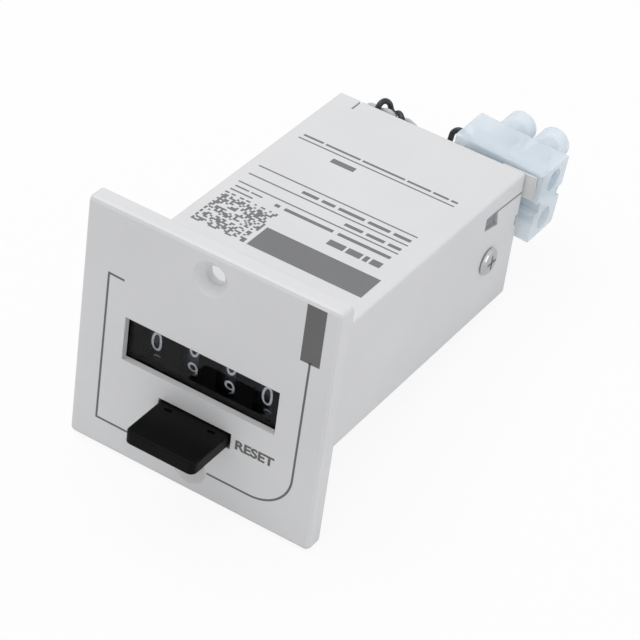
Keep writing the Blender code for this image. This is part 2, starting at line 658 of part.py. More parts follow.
def build_wheel_train():
    for index in range(WHEEL_COUNT):
        build_number_wheel(index)
    for index in range(WHEEL_COUNT - 1):
        build_pinion(index)
    length = 2 * CHEEK_OUTER - OPEN_GAP
    cylinder("wheel_shaft", WHEEL_SHAFT_RADIUS, (0, WHEEL_Y, WHEEL_Z), length, "X", 24, STEEL)
    cylinder("pinion_shaft", PINION_SHAFT_RADIUS, (0, PINION_Y, PINION_Z), length, "X", 16, STEEL)


def build_reset_key():
    """Paddle, flange, slide under the wheels and the tab that the spring pushes."""
    half = KEY_WIDTH / 2
    tip = PLATE_FRONT - KEY_REACH
    key = block("reset_key", (-half, tip, KEY_LOW), (half, KEY_FLANGE_REAR, KEY_HIGH), BLACK_PLASTIC)
    length = KEY_FLANGE_REAR - tip
    round_edges(key, lambda mid, way: abs(way.z) > 0.9 and mid.y < -0.4 * length, KEY_CORNER_RADIUS, 4)
    round_edges(key, lambda mid, way: abs(way.z) < 0.1 and mid.y < 0.49 * length, KEY_EDGE_BEVEL, 1)
    flange_x = half + KEY_FLANGE
    flange = block("key_flange", (-flange_x, KEY_FLANGE_FRONT, KEY_LOW),
                   (flange_x, KEY_FLANGE_REAR, KEY_HIGH + KEY_FLANGE_RISE))
    slide_x = half - KEY_SIDE_GAP
    slide = block("key_slide", (-slide_x, KEY_FLANGE_FRONT, KEY_LOW), (slide_x, TAB_REAR, SLIDE_HIGH))
    tab = block("key_tab", (-slide_x / 2, TAB_FRONT, KEY_LOW), (slide_x / 2, TAB_REAR, KEY_LOW + TAB_HEIGHT))
    seat = cylinder("spring_seat", RESET_SPRING_RADIUS - 0.8 * MM, (0, TAB_REAR + 0.4 * MM, SPRING_Z),
                    1.2 * MM, "Y", 16)
    fuse(key, flange, slide, tab, seat)
    for side in (-1, 1):
        x = side * KEY_DIMPLE_SPACING / 2
        y = PLATE_FRONT - 1.3 * MM
        dimple = cylinder("key_dimple", KEY_DIMPLE_WIDTH / 2, (x, y, KEY_HIGH), 0.9 * MM, "Z", 12)
        dimple.scale = (KEY_DIMPLE_LENGTH / KEY_DIMPLE_WIDTH, 1, 1)
        cut(key, dimple)


def build_reset_comb():
    """Flat steel comb on the slide, with one upright finger for each heart cam."""
    plate_low = SLIDE_HIGH + COMB_SEAT_GAP
    plate_high = plate_low + COMB_THICKNESS
    front = KEY_FLANGE_REAR + COMB_SEAT_GAP
    right = heart_plane(0) + HEART_THICKNESS / 2
    left = heart_plane(WHEEL_COUNT - 1) - HEART_THICKNESS / 2
    comb = block("reset_comb", (left, front, plate_low), (right, front + COMB_LENGTH, plate_high), STEEL)
    finger_front = MASK_REAR + OPEN_GAP
    back = front + COMB_LENGTH - 0.2 * MM
    for index in range(WHEEL_COUNT):
        x = heart_plane(index)
        finger = outline("comb_finger", [
            (back, plate_low + COMB_THICKNESS / 3),
            (back, plate_high + 0.6 * MM),
            (finger_front + FINGER_DEPTH, plate_high + 2.4 * MM),
            (finger_front + FINGER_DEPTH, WHEEL_Z + 0.9 * MM),
            (finger_front, WHEEL_Z + 0.9 * MM),
            (finger_front, KEY_HIGH + KEY_FLANGE_RISE + 2 * OPEN_GAP),
            (front + 0.2 * MM, KEY_HIGH + KEY_FLANGE_RISE + OPEN_GAP),
            (front + 0.2 * MM, plate_low + COMB_THICKNESS / 3),
        ], COMB_THICKNESS, (x, 0, 0), "X")
        fuse(comb, finger)


def coil_points(radius, length, turns, per_turn=12):
    """Points of a helix along Z, centred on the origin."""
    points = []
    count = int(turns * per_turn)
    for index in range(count + 1):
        share = index / count
        angle = share * turns * math.tau
        points.append(Vector((radius * math.cos(angle), radius * math.sin(angle), (share - 0.5) * length)))
    return points


def build_reset_spring():
    wire = 0.25 * MM
    start = TAB_REAR + SEAT_GAP + wire
    end = BULKHEAD_POSITION - SEAT_GAP - wire
    points = []
    for point in coil_points(RESET_SPRING_RADIUS, end - start, RESET_SPRING_TURNS):
        points.append((point.x, (start + end) / 2 + point.z, SPRING_Z + point.y))
    tube("reset_spring", points, wire, 1, STEEL)


def build_chassis():
    """Two cheeks with a bulkhead and a rear wall between them."""
    front = SEAT_GAP
    chassis = block("chassis", (-CHEEK_OUTER, BULKHEAD_POSITION, -CHASSIS_HALF),
                    (CHEEK_OUTER, BULKHEAD_POSITION + BULKHEAD_THICKNESS, CHASSIS_HALF), FRAME_PLASTIC)
    rear = block("rear_wall", (-CHEEK_OUTER, REAR_WALL_POSITION, -CHASSIS_HALF + 1.0 * MM),
                 (CHEEK_OUTER, REAR_WALL_POSITION + REAR_WALL_THICKNESS, CHASSIS_HALF - 1.0 * MM))
    fuse(chassis, rear)
    for side in (-1, 1):
        inner, outer = sorted((side * CHEEK_INNER, side * CHEEK_OUTER))
        cheek = block("cheek", (inner, front, -CHASSIS_HALF), (outer, CHASSIS_REAR, CHASSIS_HALF))
        pad_x = side * (CHEEK_OUTER + INNER_X - SEAT_GAP) / 2
        pad_half = (INNER_X - SEAT_GAP - CHEEK_OUTER) / 2 + 0.1 * MM
        pad = block("front_pad", (pad_x - pad_half, front, -CHASSIS_HALF / 2),
                    (pad_x + pad_half, front + PAD_LENGTH, CHASSIS_HALF / 2))
        boss_end = INNER_X - SEAT_GAP
        boss_start = CHEEK_INNER - 1.2 * MM
        boss = cylinder("screw_boss", 2.0 * SIDE_SCREW_RADIUS + 0.8 * MM,
                        (side * (boss_start + boss_end) / 2, SIDE_SCREW_POSITION, -SIDE_SCREW_DROP),
                        boss_end - boss_start, "X", 20)
        fuse(chassis, cheek, pad, boss)
    nose_start = CHEEK_OUTER - 0.2 * MM
    nose_end = SLEEVE_WIDTH / 2 - LATCH_NOSE_INSET
    nose_top = SLIT_HEIGHT + SLIT_WIDTH / 2 - SEAT_GAP
    nose = outline("latch_nose", [
        (LATCH_FRONT + SEAT_GAP, LATCH_LOW + 0.4 * MM + SEAT_GAP),
        (LATCH_REAR - LATCH_NOSE_GAP, LATCH_LOW + SEAT_GAP),
        (LATCH_REAR - LATCH_NOSE_GAP, nose_top),
        (LATCH_FRONT + SEAT_GAP, nose_top),
    ], nose_end - nose_start, ((nose_start + nose_end) / 2, 0, 0), "X")
    fuse(chassis, nose)
    for y, z, radius in (
        (WHEEL_Y, WHEEL_Z, WHEEL_SHAFT_RADIUS),
        (PINION_Y, PINION_Z, PINION_SHAFT_RADIUS),
        (HINGE_Y, HINGE_Z, ARMATURE_PIN_RADIUS),
        (SIDE_SCREW_POSITION, -SIDE_SCREW_DROP, SIDE_SCREW_RADIUS),
    ):
        cut(chassis, cylinder("chassis_bore", radius + RUNNING_GAP, (0, y, z), SLEEVE_WIDTH, "X", 20))

    anchor_x = anchor_middle()
    window = block("anchor_window", (anchor_x - 1.0 * MM, BULKHEAD_POSITION - OVERSHOOT, 1.0 * MM),
                   (anchor_x + 1.0 * MM, BULKHEAD_POSITION + BULKHEAD_THICKNESS + OVERSHOOT,
                    CHASSIS_HALF + OVERSHOOT))
    lead_gate = block("lead_gate", (LEAD_EXIT_X - 2.2 * MM, REAR_WALL_POSITION - OVERSHOOT, LEAD_EXIT_Z - 1.2 * MM),
                      (LEAD_EXIT_X + 2.2 * MM, REAR_WALL_POSITION + REAR_WALL_THICKNESS + OVERSHOOT,
                       CHASSIS_HALF + OVERSHOOT))
    core_hole = cylinder("core_hole", CORE_SCREW_RADIUS + SEAT_GAP, (0, REAR_WALL_POSITION, MAGNET_Z),
                         2 * REAR_WALL_THICKNESS + OVERSHOOT, "Y", 20)
    cut(chassis, window, lead_gate, core_hole)


def build_magnet():
    """Core, bobbin, winding and the angled yoke."""
    core_hole = CORE_SCREW_RADIUS + SEAT_GAP
    revolve("magnet_core", [
        (0, POLE_POSITION),
        (CORE_RADIUS, POLE_POSITION),
        (CORE_RADIUS, CORE_END),
        (core_hole, CORE_END),
        (core_hole, CORE_END - CORE_THREAD_DEPTH),
        (0, CORE_END - CORE_THREAD_DEPTH),
    ], (0, 0, MAGNET_Z), "Y", 28, SOFT_IRON, False)

    half = BOBBIN_SIZE / 2
    tube_outer = CORE_RADIUS + SEAT_GAP + BOBBIN_WALL
    bobbin = cylinder("coil_bobbin", tube_outer, (0, (BOBBIN_FRONT + BOBBIN_REAR) / 2, MAGNET_Z), BOBBIN_LENGTH,
                      "Y", 28, FRAME_PLASTIC)
    front = block("front_flange", (-half, BOBBIN_FRONT, MAGNET_Z - half),
                  (half, BOBBIN_FRONT + BOBBIN_FLANGE, MAGNET_Z + half))
    rear = block("rear_flange", (-half, BOBBIN_REAR - BOBBIN_FLANGE, MAGNET_Z - half),
                 (half, BOBBIN_REAR, MAGNET_Z + half))
    ledge = block("terminal_ledge", (LEAD_EXIT_X - LEAD_SPACING, BOBBIN_REAR - BOBBIN_FLANGE, LEAD_EXIT_Z - LEAD_SPACING),
                  (-half + 0.5 * MM, BOBBIN_REAR, LEAD_EXIT_Z + LEAD_SPACING / 2))
    fuse(bobbin, front, rear, ledge)
    cut(bobbin, cylinder("core_bore", CORE_RADIUS + SEAT_GAP, (0, (BOBBIN_FRONT + BOBBIN_REAR) / 2, MAGNET_Z),
                         BOBBIN_LENGTH + 2 * OVERSHOOT, "Y", 28))

    start = BOBBIN_FRONT + BOBBIN_FLANGE + SEAT_GAP
    end = BOBBIN_REAR - BOBBIN_FLANGE - SEAT_GAP
    revolve("coil_winding", [
        (tube_outer + SEAT_GAP, start),
        (tube_outer + SEAT_GAP, end),
        (WINDING_RADIUS, end),
        (WINDING_RADIUS, start),
    ], (0, 0, MAGNET_Z), "Y", 36, COIL_TAPE)

    yoke_rear = YOKE_REAR_FRONT + YOKE_THICKNESS
    arm_front = HINGE_Y + ARMATURE_HINGE_RADIUS + OPEN_GAP
    yoke = outline("magnet_yoke", [
        (arm_front, YOKE_TOP - YOKE_THICKNESS),
        (YOKE_REAR_FRONT, YOKE_TOP - YOKE_THICKNESS),
        (YOKE_REAR_FRONT, MAGNET_Z - half),
        (yoke_rear, MAGNET_Z - half),
        (yoke_rear, YOKE_TOP),
        (arm_front, YOKE_TOP),
    ], YOKE_WIDTH, (0, 0, 0), "X", SOFT_IRON)
    cut(yoke, cylinder("yoke_hole", core_hole, (0, YOKE_REAR_FRONT, MAGNET_Z), 4 * YOKE_THICKNESS, "Y", 20))

    head_start = REAR_WALL_POSITION + REAR_WALL_THICKNESS + SEAT_GAP
    revolve("core_screw", [
        (0, CORE_END - CORE_SCREW_REACH),
        (CORE_SCREW_RADIUS, CORE_END - CORE_SCREW_REACH),
        (CORE_SCREW_RADIUS, head_start),
        (CORE_SCREW_HEAD_RADIUS, head_start),
        (CORE_SCREW_HEAD_RADIUS, head_start + 0.65 * CORE_SCREW_HEAD_HEIGHT),
        (0.77 * CORE_SCREW_HEAD_RADIUS, head_start + CORE_SCREW_HEAD_HEIGHT),
        (0, head_start + CORE_SCREW_HEAD_HEIGHT),
    ], (0, 0, MAGNET_Z), "Y", 20, STEEL, False)


def anchor_middle():
    """X of the anchor, which lies in the plane of the ratchet."""
    return wheel_x(0) + WHEEL_RIM_WIDTH / 2 + RATCHET_THICKNESS - ANCHOR_THICKNESS / 2


def build_armature():
    """Hinged iron plate with the anchor arm that steps the units wheel."""
    x = anchor_middle()
    plate_rear = POLE_POSITION - ARMATURE_GAP
    plate_front = plate_rear - ARMATURE_THICKNESS
    half = ARMATURE_WIDTH / 2
    armature = cylinder("armature", ARMATURE_HINGE_RADIUS, (x / 2, HINGE_Y, HINGE_Z), x + ANCHOR_THICKNESS, "X",
                        24, SOFT_IRON)
    plate = block("armature_plate", (-half, plate_front, MAGNET_Z - half), (half, plate_rear, HINGE_Z))
    claw = WHEEL_Z + RATCHET_RADIUS + ANCHOR_CLAW_RISE
    pawl = WHEEL_Y + RATCHET_RADIUS + ANCHOR_PAWL_GAP
    arm_low = HINGE_Z - 1.05 * ANCHOR_ARM
    leg_front = PINION_Y + 0.85 * ANCHOR_ARM
    leg_rear = PINION_Y + 1.75 * ANCHOR_ARM
    anchor = outline("anchor", [
        (HINGE_Y + ARMATURE_HINGE_RADIUS / 2, HINGE_Z - ANCHOR_ARM / 2),
        (HINGE_Y + ARMATURE_HINGE_RADIUS / 2, HINGE_Z + ANCHOR_ARM / 2),
        (WHEEL_Y + 0.73 * RATCHET_RADIUS, HINGE_Z + ANCHOR_ARM / 4),
        (WHEEL_Y + 0.29 * RATCHET_RADIUS, HINGE_Z - 0.45 * ANCHOR_ARM),
        (WHEEL_Y + 0.42 * RATCHET_RADIUS, claw),
        (WHEEL_Y + 0.8 * RATCHET_RADIUS, arm_low),
        (leg_front + 0.2 * ANCHOR_ARM, arm_low),
        (leg_front, WHEEL_Z + 0.65 * ANCHOR_ARM),
        (pawl, WHEEL_Z - 0.33 * ANCHOR_ARM),
        (pawl + ANCHOR_ARM / 9, WHEEL_Z - 0.83 * ANCHOR_ARM),
        (leg_rear - 0.2 * ANCHOR_ARM, WHEEL_Z + ANCHOR_ARM / 3),
        (leg_rear, HINGE_Z - 1.15 * ANCHOR_ARM),
    ], ANCHOR_THICKNESS, (x, 0, 0), "X")
    fuse(armature, plate, anchor)
    cut(armature, cylinder("hinge_bore", ARMATURE_PIN_RADIUS + RUNNING_GAP, (0, HINGE_Y, HINGE_Z), SLEEVE_WIDTH,
                           "X", 20))
    cylinder("armature_pin", ARMATURE_PIN_RADIUS, (0, HINGE_Y, HINGE_Z), 2 * CHEEK_OUTER - OPEN_GAP, "X", 16, STEEL)


def build_armature_spring():
    """Torsion spring on the hinge pin: one leg on the bulkhead, the other behind the armature plate."""
    wire = ARMATURE_SPRING_WIRE
    radius = ARMATURE_HINGE_RADIUS - wire
    length = ARMATURE_SPRING_LENGTH
    start_x = -ARMATURE_WIDTH / 2 - 1.5 * length
    points = [(start_x, BULKHEAD_POSITION + BULKHEAD_THICKNESS + SEAT_GAP + wire, HINGE_Z + radius)]
    count = ARMATURE_SPRING_TURNS * 12
    for index in range(count + 1):
        share = index / count
        angle = math.pi / 2 - share * (ARMATURE_SPRING_TURNS - 0.25) * math.tau
        points.append((start_x + share * length, HINGE_Y + radius * math.cos(angle),
                       HINGE_Z + radius * math.sin(angle)))
    points.append((start_x + length, HINGE_Y + radius, HINGE_Z - ARMATURE_SPRING_LEG))
    tube("armature_spring", points, wire, 1, STEEL)


def build_rear_cover():
    """Plug at the sleeve's rear, with the ear beside the terminal strip."""
    half_x, half_z = INNER_X - SEAT_GAP, INNER_Z - SEAT_GAP
    cover = block("rear_cover", (-half_x, COVER_FRONT, -half_z), (half_x, COVER_REAR, half_z), WHITE_PLASTIC)
    round_edges(cover, lambda mid, way: abs(way.y) > 0.9, 0.4 * MM, 1)
    ear_low = SLEEVE_HEIGHT / 2 - EAR_HEIGHT
    ear_high = SLEEVE_HEIGHT / 2 - SEAT_GAP
    ear_front = SLEEVE_DEPTH + SEAT_GAP
    ear_rear = STRIP_FRONT - SEAT_GAP
    ear = block("ear", (half_x - EAR_ROOT_WIDTH, ear_front, ear_low),
                (SLEEVE_WIDTH / 2 + EAR_REACH, ear_rear, ear_high))
    root = block("ear_root", (half_x - EAR_ROOT_WIDTH, COVER_REAR - OVERSHOOT, ear_low),
                 (half_x - 0.5 * MM, ear_rear, half_z - 0.5 * MM))
    boss_start = COVER_REAR - COVER_THICKNESS / 2
    boss = cylinder("strip_boss", 1.5 * STRIP_SCREW_HEAD_RADIUS,
                    (STRIP_CENTRE_X, (boss_start + ear_rear) / 2, STRIP_CENTRE_Z), ear_rear - boss_start, "Y", 20)
    fuse(cover, ear, root, boss)
    for side in (-1, 1):
        x = LEAD_EXIT_X + side * LEAD_SPACING / 2
        cut(cover, cylinder("lead_hole", LEAD_RADIUS + SEAT_GAP, (x, COVER_FRONT, LEAD_EXIT_Z),
                            3 * COVER_THICKNESS, "Y", 16))
    cut(cover, cylinder("strip_screw_hole", STRIP_SCREW_RADIUS + SEAT_GAP,
                        (STRIP_CENTRE_X, COVER_REAR, STRIP_CENTRE_Z), 4 * COVER_THICKNESS, "Y", 16))


def build_side_screws():
    """Pan head screws that hold the sleeve to the chassis."""
    for side, name in ((1, "side_screw_right"), (-1, "side_screw_left")):
        head_start = SLEEVE_WIDTH / 2 + SEAT_GAP
        shank_start = CHEEK_INNER - 1.0 * MM
        profile = [
            (0, shank_start),
            (SIDE_SCREW_RADIUS, shank_start),
            (SIDE_SCREW_RADIUS, head_start),
            (SIDE_SCREW_HEAD_RADIUS, head_start),
            (SIDE_SCREW_HEAD_RADIUS, head_start + 0.45 * SIDE_SCREW_HEAD_HEIGHT),
            (0.86 * SIDE_SCREW_HEAD_RADIUS, head_start + 0.8 * SIDE_SCREW_HEAD_HEIGHT),
            (0.6 * SIDE_SCREW_HEAD_RADIUS, head_start + SIDE_SCREW_HEAD_HEIGHT),
            (0, head_start + SIDE_SCREW_HEAD_HEIGHT),
        ]
        screw = revolve(name, profile, (0, SIDE_SCREW_POSITION, -SIDE_SCREW_DROP), "X", 24, STEEL, False)
        top = head_start + SIDE_SCREW_HEAD_HEIGHT
        long = 1.15 * SIDE_SCREW_HEAD_RADIUS
        thin = 0.22 * SIDE_SCREW_HEAD_RADIUS
        for length, width in ((long, thin), (thin, long)):
            cut(screw, block("cross_recess",
                             (top - 0.7 * SIDE_SCREW_HEAD_HEIGHT, SIDE_SCREW_POSITION - length / 2,
                              -SIDE_SCREW_DROP - width / 2),
                             (top + OVERSHOOT, SIDE_SCREW_POSITION + length / 2, -SIDE_SCREW_DROP + width / 2)))
        if side < 0:
            screw.rotation_euler = (0, 0, math.pi)
            for modifier in screw.modifiers:
                cutter = modifier.object
                cutter.location.x *= -1


def strip_frame():
    """Parent of everything on the terminal strip, turned by its small lean."""
    frame = bpy.data.objects.new("strip_frame", None)
    frame.location = (STRIP_CENTRE_X, 0, STRIP_CENTRE_Z)
    frame.rotation_euler = (0, STRIP_LEAN, 0)
    PARTS.objects.link(frame)
    return frame


def rounded_square(size, radius, centre, steps=3):
    """Outline of a square with round corners, in the Y and Z directions."""
    points = []
    reach = size / 2 - radius
    for corner in range(4):
        start = corner * math.pi / 2
        sign_y = 1 if corner in (0, 3) else -1
        sign_z = 1 if corner in (0, 1) else -1
        for step in range(steps + 1):
            angle = start + step / steps * math.pi / 2
            points.append((centre[0] + sign_y * reach + radius * math.cos(angle),
                           centre[1] + sign_z * reach + radius * math.sin(angle)))
    return points


def build_terminal_strip(frame):
    """Two poles joined by a neck, each with a tube for the wires and two screw towers."""
    middle_y = STRIP_FRONT + STRIP_BASE / 2
    pieces = []
    for side in (1, -1):
        z = side * POLE_PITCH / 2
        points = rounded_square(POLE_SIZE, STRIP_EDGE_RADIUS, (middle_y, z))
        stretch = STRIP_BASE / POLE_SIZE
        points = [(middle_y + (y - middle_y) * stretch, v) for y, v in points]
        pieces.append(outline("terminal_strip" if side == 1 else "pole", points, STRIP_LENGTH, (0, 0, 0), "X",
                              STRIP_PLASTIC))
    strip = pieces[0]
    neck = block("neck", (-STRIP_LENGTH / 2, STRIP_FRONT + 1.3 * MM, -POLE_PITCH / 2),
                 (STRIP_LENGTH / 2, STRIP_FRONT + STRIP_BASE - 1.4 * MM, POLE_PITCH / 2))
    boss = cylinder("mount_boss", 2.4 * MM, (0, middle_y, 0), STRIP_BASE - 0.2 * MM, "Y", 24)
    fuse(strip, pieces[1], neck, boss)
    for side in (1, -1):
        z = side * POLE_PITCH / 2
        for end in (-1, 1):
            x = end * TOWER_PITCH / 2
            fuse(strip, cylinder("tower", TOWER_RADIUS, (x, (middle_y + TOWER_END) / 2, z), TOWER_END - middle_y,
                                 "Y", 28))
    for side in (1, -1):
        z = side * POLE_PITCH / 2
        cut(strip, cylinder("wire_tube", BRASS_RADIUS + SEAT_GAP, (0, TUBE_Y, z), STRIP_LENGTH + OVERSHOOT,
                            "X", 20, None, 0.07))
        for end in (-1, 1):
            x = end * TOWER_PITCH / 2
            start = TUBE_Y + 0.3 * MM
            end_y = TOWER_END + OVERSHOOT
            cut(strip, cylinder("tower_bore", CLAMP_HEAD_RADIUS + SEAT_GAP, (x, (start + end_y) / 2, z),
                                end_y - start, "Y", 18, None, 0.1))
    cut(strip, cylinder("mount_hole", STRIP_SCREW_RADIUS + SEAT_GAP, (0, middle_y, 0), 2 * STRIP_BASE, "Y", 16))
    for item in [strip] + [modifier.object for modifier in strip.modifiers]:
        item.parent = frame


def build_terminal_metal(frame):
    """Brass sleeves and clamping screws of both poles, and the screw that holds the strip."""
    number = 0
    for side, place in ((1, "upper"), (-1, "lower")):
        z = side * POLE_PITCH / 2
        half = BRASS_LENGTH / 2
        sleeve = revolve("terminal_sleeve_" + place, [
            (BRASS_BORE, -half),
            (BRASS_RADIUS, -half),
            (BRASS_RADIUS, half),
            (BRASS_BORE, half),
        ], (0, TUBE_Y, z), "X", 20, BRASS)
        sleeve.parent = frame
        for end in (-1, 1):
            x = end * TOWER_PITCH / 2
            hole = cylinder("clamp_hole", CLAMP_SCREW_RADIUS + SEAT_GAP, (x, TUBE_Y + BRASS_RADIUS + 0.1 * MM, z),
                            2 * BRASS_RADIUS, "Y", 16, None, 0.12)
            hole.parent = frame
            cut(sleeve, hole)
            number += 1
            top = TOWER_END - 1.6 * MM
            shank = TUBE_Y + LEAD_RADIUS + SEAT_GAP
            screw = revolve("terminal_screw_%d" % number, [
                (0, shank),
                (CLAMP_SCREW_RADIUS, shank),
                (CLAMP_SCREW_RADIUS, top - CLAMP_HEAD_HEIGHT),
                (CLAMP_HEAD_RADIUS, top - CLAMP_HEAD_HEIGHT),
                (CLAMP_HEAD_RADIUS, top),
                (0, top),
            ], (x, 0, z), "Y", 20, STEEL, False)
            screw.parent = frame
            slot = block("screw_slot", (x - CLAMP_HEAD_RADIUS - OVERSHOOT, top - 0.7 * MM, z - 0.25 * MM),
                         (x + CLAMP_HEAD_RADIUS + OVERSHOOT, top + OVERSHOOT, z + 0.25 * MM))
            slot.parent = frame
            cut(screw, slot)
    head_start = STRIP_FRONT + STRIP_BASE - 0.1 * MM + SEAT_GAP
    screw = revolve("strip_screw", [
        (0, COVER_REAR - 1.5 * MM),
        (STRIP_SCREW_RADIUS, COVER_REAR - 1.5 * MM),
        (STRIP_SCREW_RADIUS, head_start),
        (STRIP_SCREW_HEAD_RADIUS, head_start),
        (STRIP_SCREW_HEAD_RADIUS, head_start + 0.7 * MM),
        (0.6 * STRIP_SCREW_HEAD_RADIUS, head_start + 1.1 * MM),
        (0, head_start + 1.1 * MM),
    ], (0, 0, 0), "Y", 20, STEEL, False)
    screw.parent = frame


def catmull_rom(points, share):
    """Point of a smooth curve through the given points, share 0 to 1."""
    spans = len(points) - 1
    place = min(share * spans, spans - 1e-9)
    index = int(place)
    t = place - index
    p0 = points[max(index - 1, 0)]
    p1 = points[index]
    p2 = points[index + 1]
    p3 = points[min(index + 2, spans)]
    return 0.5 * ((2 * p1) + (p2 - p0) * t + (2 * p0 - 5 * p1 + 4 * p2 - p3) * t ** 2
                  + (3 * p1 - p0 - 3 * p2 + p3) * t ** 3)


def strip_mouth(side):
    """Left end of a pole's wire tube: the upper pole for side 1, the lower one for side -1."""
    along = Vector((math.cos(STRIP_LEAN), 0, -math.sin(STRIP_LEAN)))
    across = Vector((math.sin(STRIP_LEAN), 0, math.cos(STRIP_LEAN)))
    centre = Vector((STRIP_CENTRE_X, TUBE_Y, STRIP_CENTRE_Z))
    return centre - along * STRIP_LENGTH / 2 + across * side * POLE_PITCH / 2, along


def build_leads():
    """Two leads from the coil through the rear cover, twisted together, to the strip's left end."""
    diameter = 2 * LEAD_RADIUS
    leave = Vector((LEAD_EXIT_X, SLEEVE_DEPTH, SLEEVE_HEIGHT / 2))
    for side, name, mat, route, last in (
        (1, "lead_black", BLACK_INSULATION, BLACK_ROUTE, BLACK_ARRIVAL),
        (-1, "lead_grey", GREY_INSULATION, GREY_ROUTE, GREY_ARRIVAL),
    ):
        x = LEAD_EXIT_X + side * LEAD_SPACING / 2
        mouth, along = strip_mouth(side)
        points = [
            Vector((x, BOBBIN_REAR + OPEN_GAP, LEAD_EXIT_Z)),
            Vector((x, (BOBBIN_REAR + COVER_FRONT) / 2, LEAD_EXIT_Z)),
            Vector((x, COVER_FRONT - OPEN_GAP, LEAD_EXIT_Z)),
            Vector((x, COVER_REAR + OPEN_GAP, LEAD_EXIT_Z)),
        ]
        points += [leave + diameter * Vector(offset) for offset in route]
        points += [mouth + diameter * Vector(offset) for offset in last]
        points += [mouth + along * reach * MM for reach in (0.3, 2.5, 4.5, 6.4)]
        count = 2 * len(points)
        smooth_points = [catmull_rom(points, index / count) for index in range(count + 1)]
        tube(name, smooth_points, LEAD_RADIUS, 2, mat)


def build():
    build_housing()
    build_window()
    build_wheel_train()
    build_reset_key()
    build_reset_comb()
    build_reset_spring()
    build_chassis()
    build_magnet()
    build_armature()
    build_armature_spring()
    build_rear_cover()
    build_side_screws()
    frame = strip_frame()
    build_terminal_strip(frame)
    build_terminal_metal(frame)
    build_leads()
    bpy.context.view_layer.update()


build()
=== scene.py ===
"""Looks of the panel counter: plastics, metals, print, numerals, leads, studio light and camera."""

import math

import bmesh
import bpy
from mathutils import Matrix, Vector


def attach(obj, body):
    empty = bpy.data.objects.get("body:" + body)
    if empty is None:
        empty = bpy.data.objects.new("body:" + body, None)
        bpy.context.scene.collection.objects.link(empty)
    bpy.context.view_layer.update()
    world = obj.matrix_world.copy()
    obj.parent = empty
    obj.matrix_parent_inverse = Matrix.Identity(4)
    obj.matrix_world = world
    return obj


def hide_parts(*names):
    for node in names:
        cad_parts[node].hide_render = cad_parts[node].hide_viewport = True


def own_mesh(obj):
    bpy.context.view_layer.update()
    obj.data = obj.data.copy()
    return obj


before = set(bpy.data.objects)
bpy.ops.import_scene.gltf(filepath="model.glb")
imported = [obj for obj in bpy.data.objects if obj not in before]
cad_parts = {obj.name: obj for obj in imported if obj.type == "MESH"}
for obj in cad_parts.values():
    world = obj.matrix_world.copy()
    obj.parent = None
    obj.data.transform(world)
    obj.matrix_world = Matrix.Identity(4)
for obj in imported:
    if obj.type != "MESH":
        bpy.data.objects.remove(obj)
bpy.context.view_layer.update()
MM = 0.001

# Sizes shared with the solids, in metres
PLATE_FRONT = -3.0 * MM
PLATE_BOTTOM = -22.5 * MM
TOP_FACE = 11.9 * MM
HOUSING_REAR = 62.5 * MM
WHEEL_RADIUS = 7.5 * MM
WHEEL_Y = 7.85 * MM
WHEEL_Z = -0.7 * MM
WHEEL_PITCH = 6.75 * MM

# Print: thickness in metres, and the way out of the plate and out of the housing's top
INK = 0.02 * MM
OUT_OF_PLATE = Vector((0, -INK, 0))
OUT_OF_TOP = Vector((0, 0, INK))
SHARPEST_MITRE = 0.3

# Lettering, before it is scaled: steps of its curves, and the distance at which vertices merge
LETTER_STEPS = 6
MERGE_DISTANCE = 0.00001

# Print on the plate, in millimetres: x and z from the plate's middle, fields as x0, x1, z0, z1
PLATE_LINE_WIDTH = 0.36
PLATE_LINE_LEFT = ((-14.8, 10.45), (-17.65, 10.55), (-17.7, -17.2), (-3.25, -17.3))
PLATE_LINE_BOTTOM = ((3.25, -17.4), (11.0, -17.4))
PLATE_LINE_RIGHT = ((18.05, -10.6), (18.2, 11.8))
CORNER_MIDDLE = (11.0, -10.6)
CORNER_REACH = (7.05, 6.8)
CORNER_STEPS = 12
PLATE_FIELD = (16.5, 19.85, 11.55, 21.75)
KEY_WORD = "RESET"
KEY_WORD_PLACE = (11.1, -9.2)
KEY_WORD_SIZE = (7.0, 1.8)
KEY_WORD_WEIGHT = 0.036

# Print on the housing's top, in millimetres: x and y of the frame, fields as x0, x1, y0, y1
TOP_BAR = (-5.3, 15.45, 15.5, 21.35)
TOP_FIELD = (-7.9, -3.5, 43.5, 44.75)
TOP_RULES = ((29.0, -15.8), (31.9, -15.8), (34.85, -15.8), (46.2, -15.6))  # y and left end
TOP_RULE_RIGHT = 13.85
TOP_RULE_WIDTH = 0.3
DASH_ROWS = (  # middle, left end, right end, height, lengths from right to left, gap
    (24.55, 3.3, 13.5, 1.5, (1.9, 0.8, 2.6, 3.0), 0.45),
    (27.3, -7.8, 13.5, 0.75, (9.6, 9.0), 0.9),
    (30.25, 2.3, 13.6, 0.75, (2.3, 3.3, 3.3), 0.7),
    (33.25, -6.8, 13.6, 0.75, (3.1, 4.0, 4.8, 2.4, 3.0), 0.7),
    (26.35, -15.6, -11.4, 0.35, (4.2,), 0.4),
    (27.6, -15.6, -10.4, 0.35, (2.1, 2.6), 0.4),
    (47.4, -15.3, 13.85, 0.5, (1.2, 2.9, 4.4, 8.0, 6.6, 4.2), 0.45),
)
SHORTEST_DASH = 0.6
SQUARE_CORNER = (-15.8, 15.5)
SQUARE_SIZE = 9.9
SQUARE_CELLS = 25
SQUARE_GAP = 0.004
SQUARE_FACTORS = (7349, 9151, 613, 4099)
SQUARE_RANGE = 1009

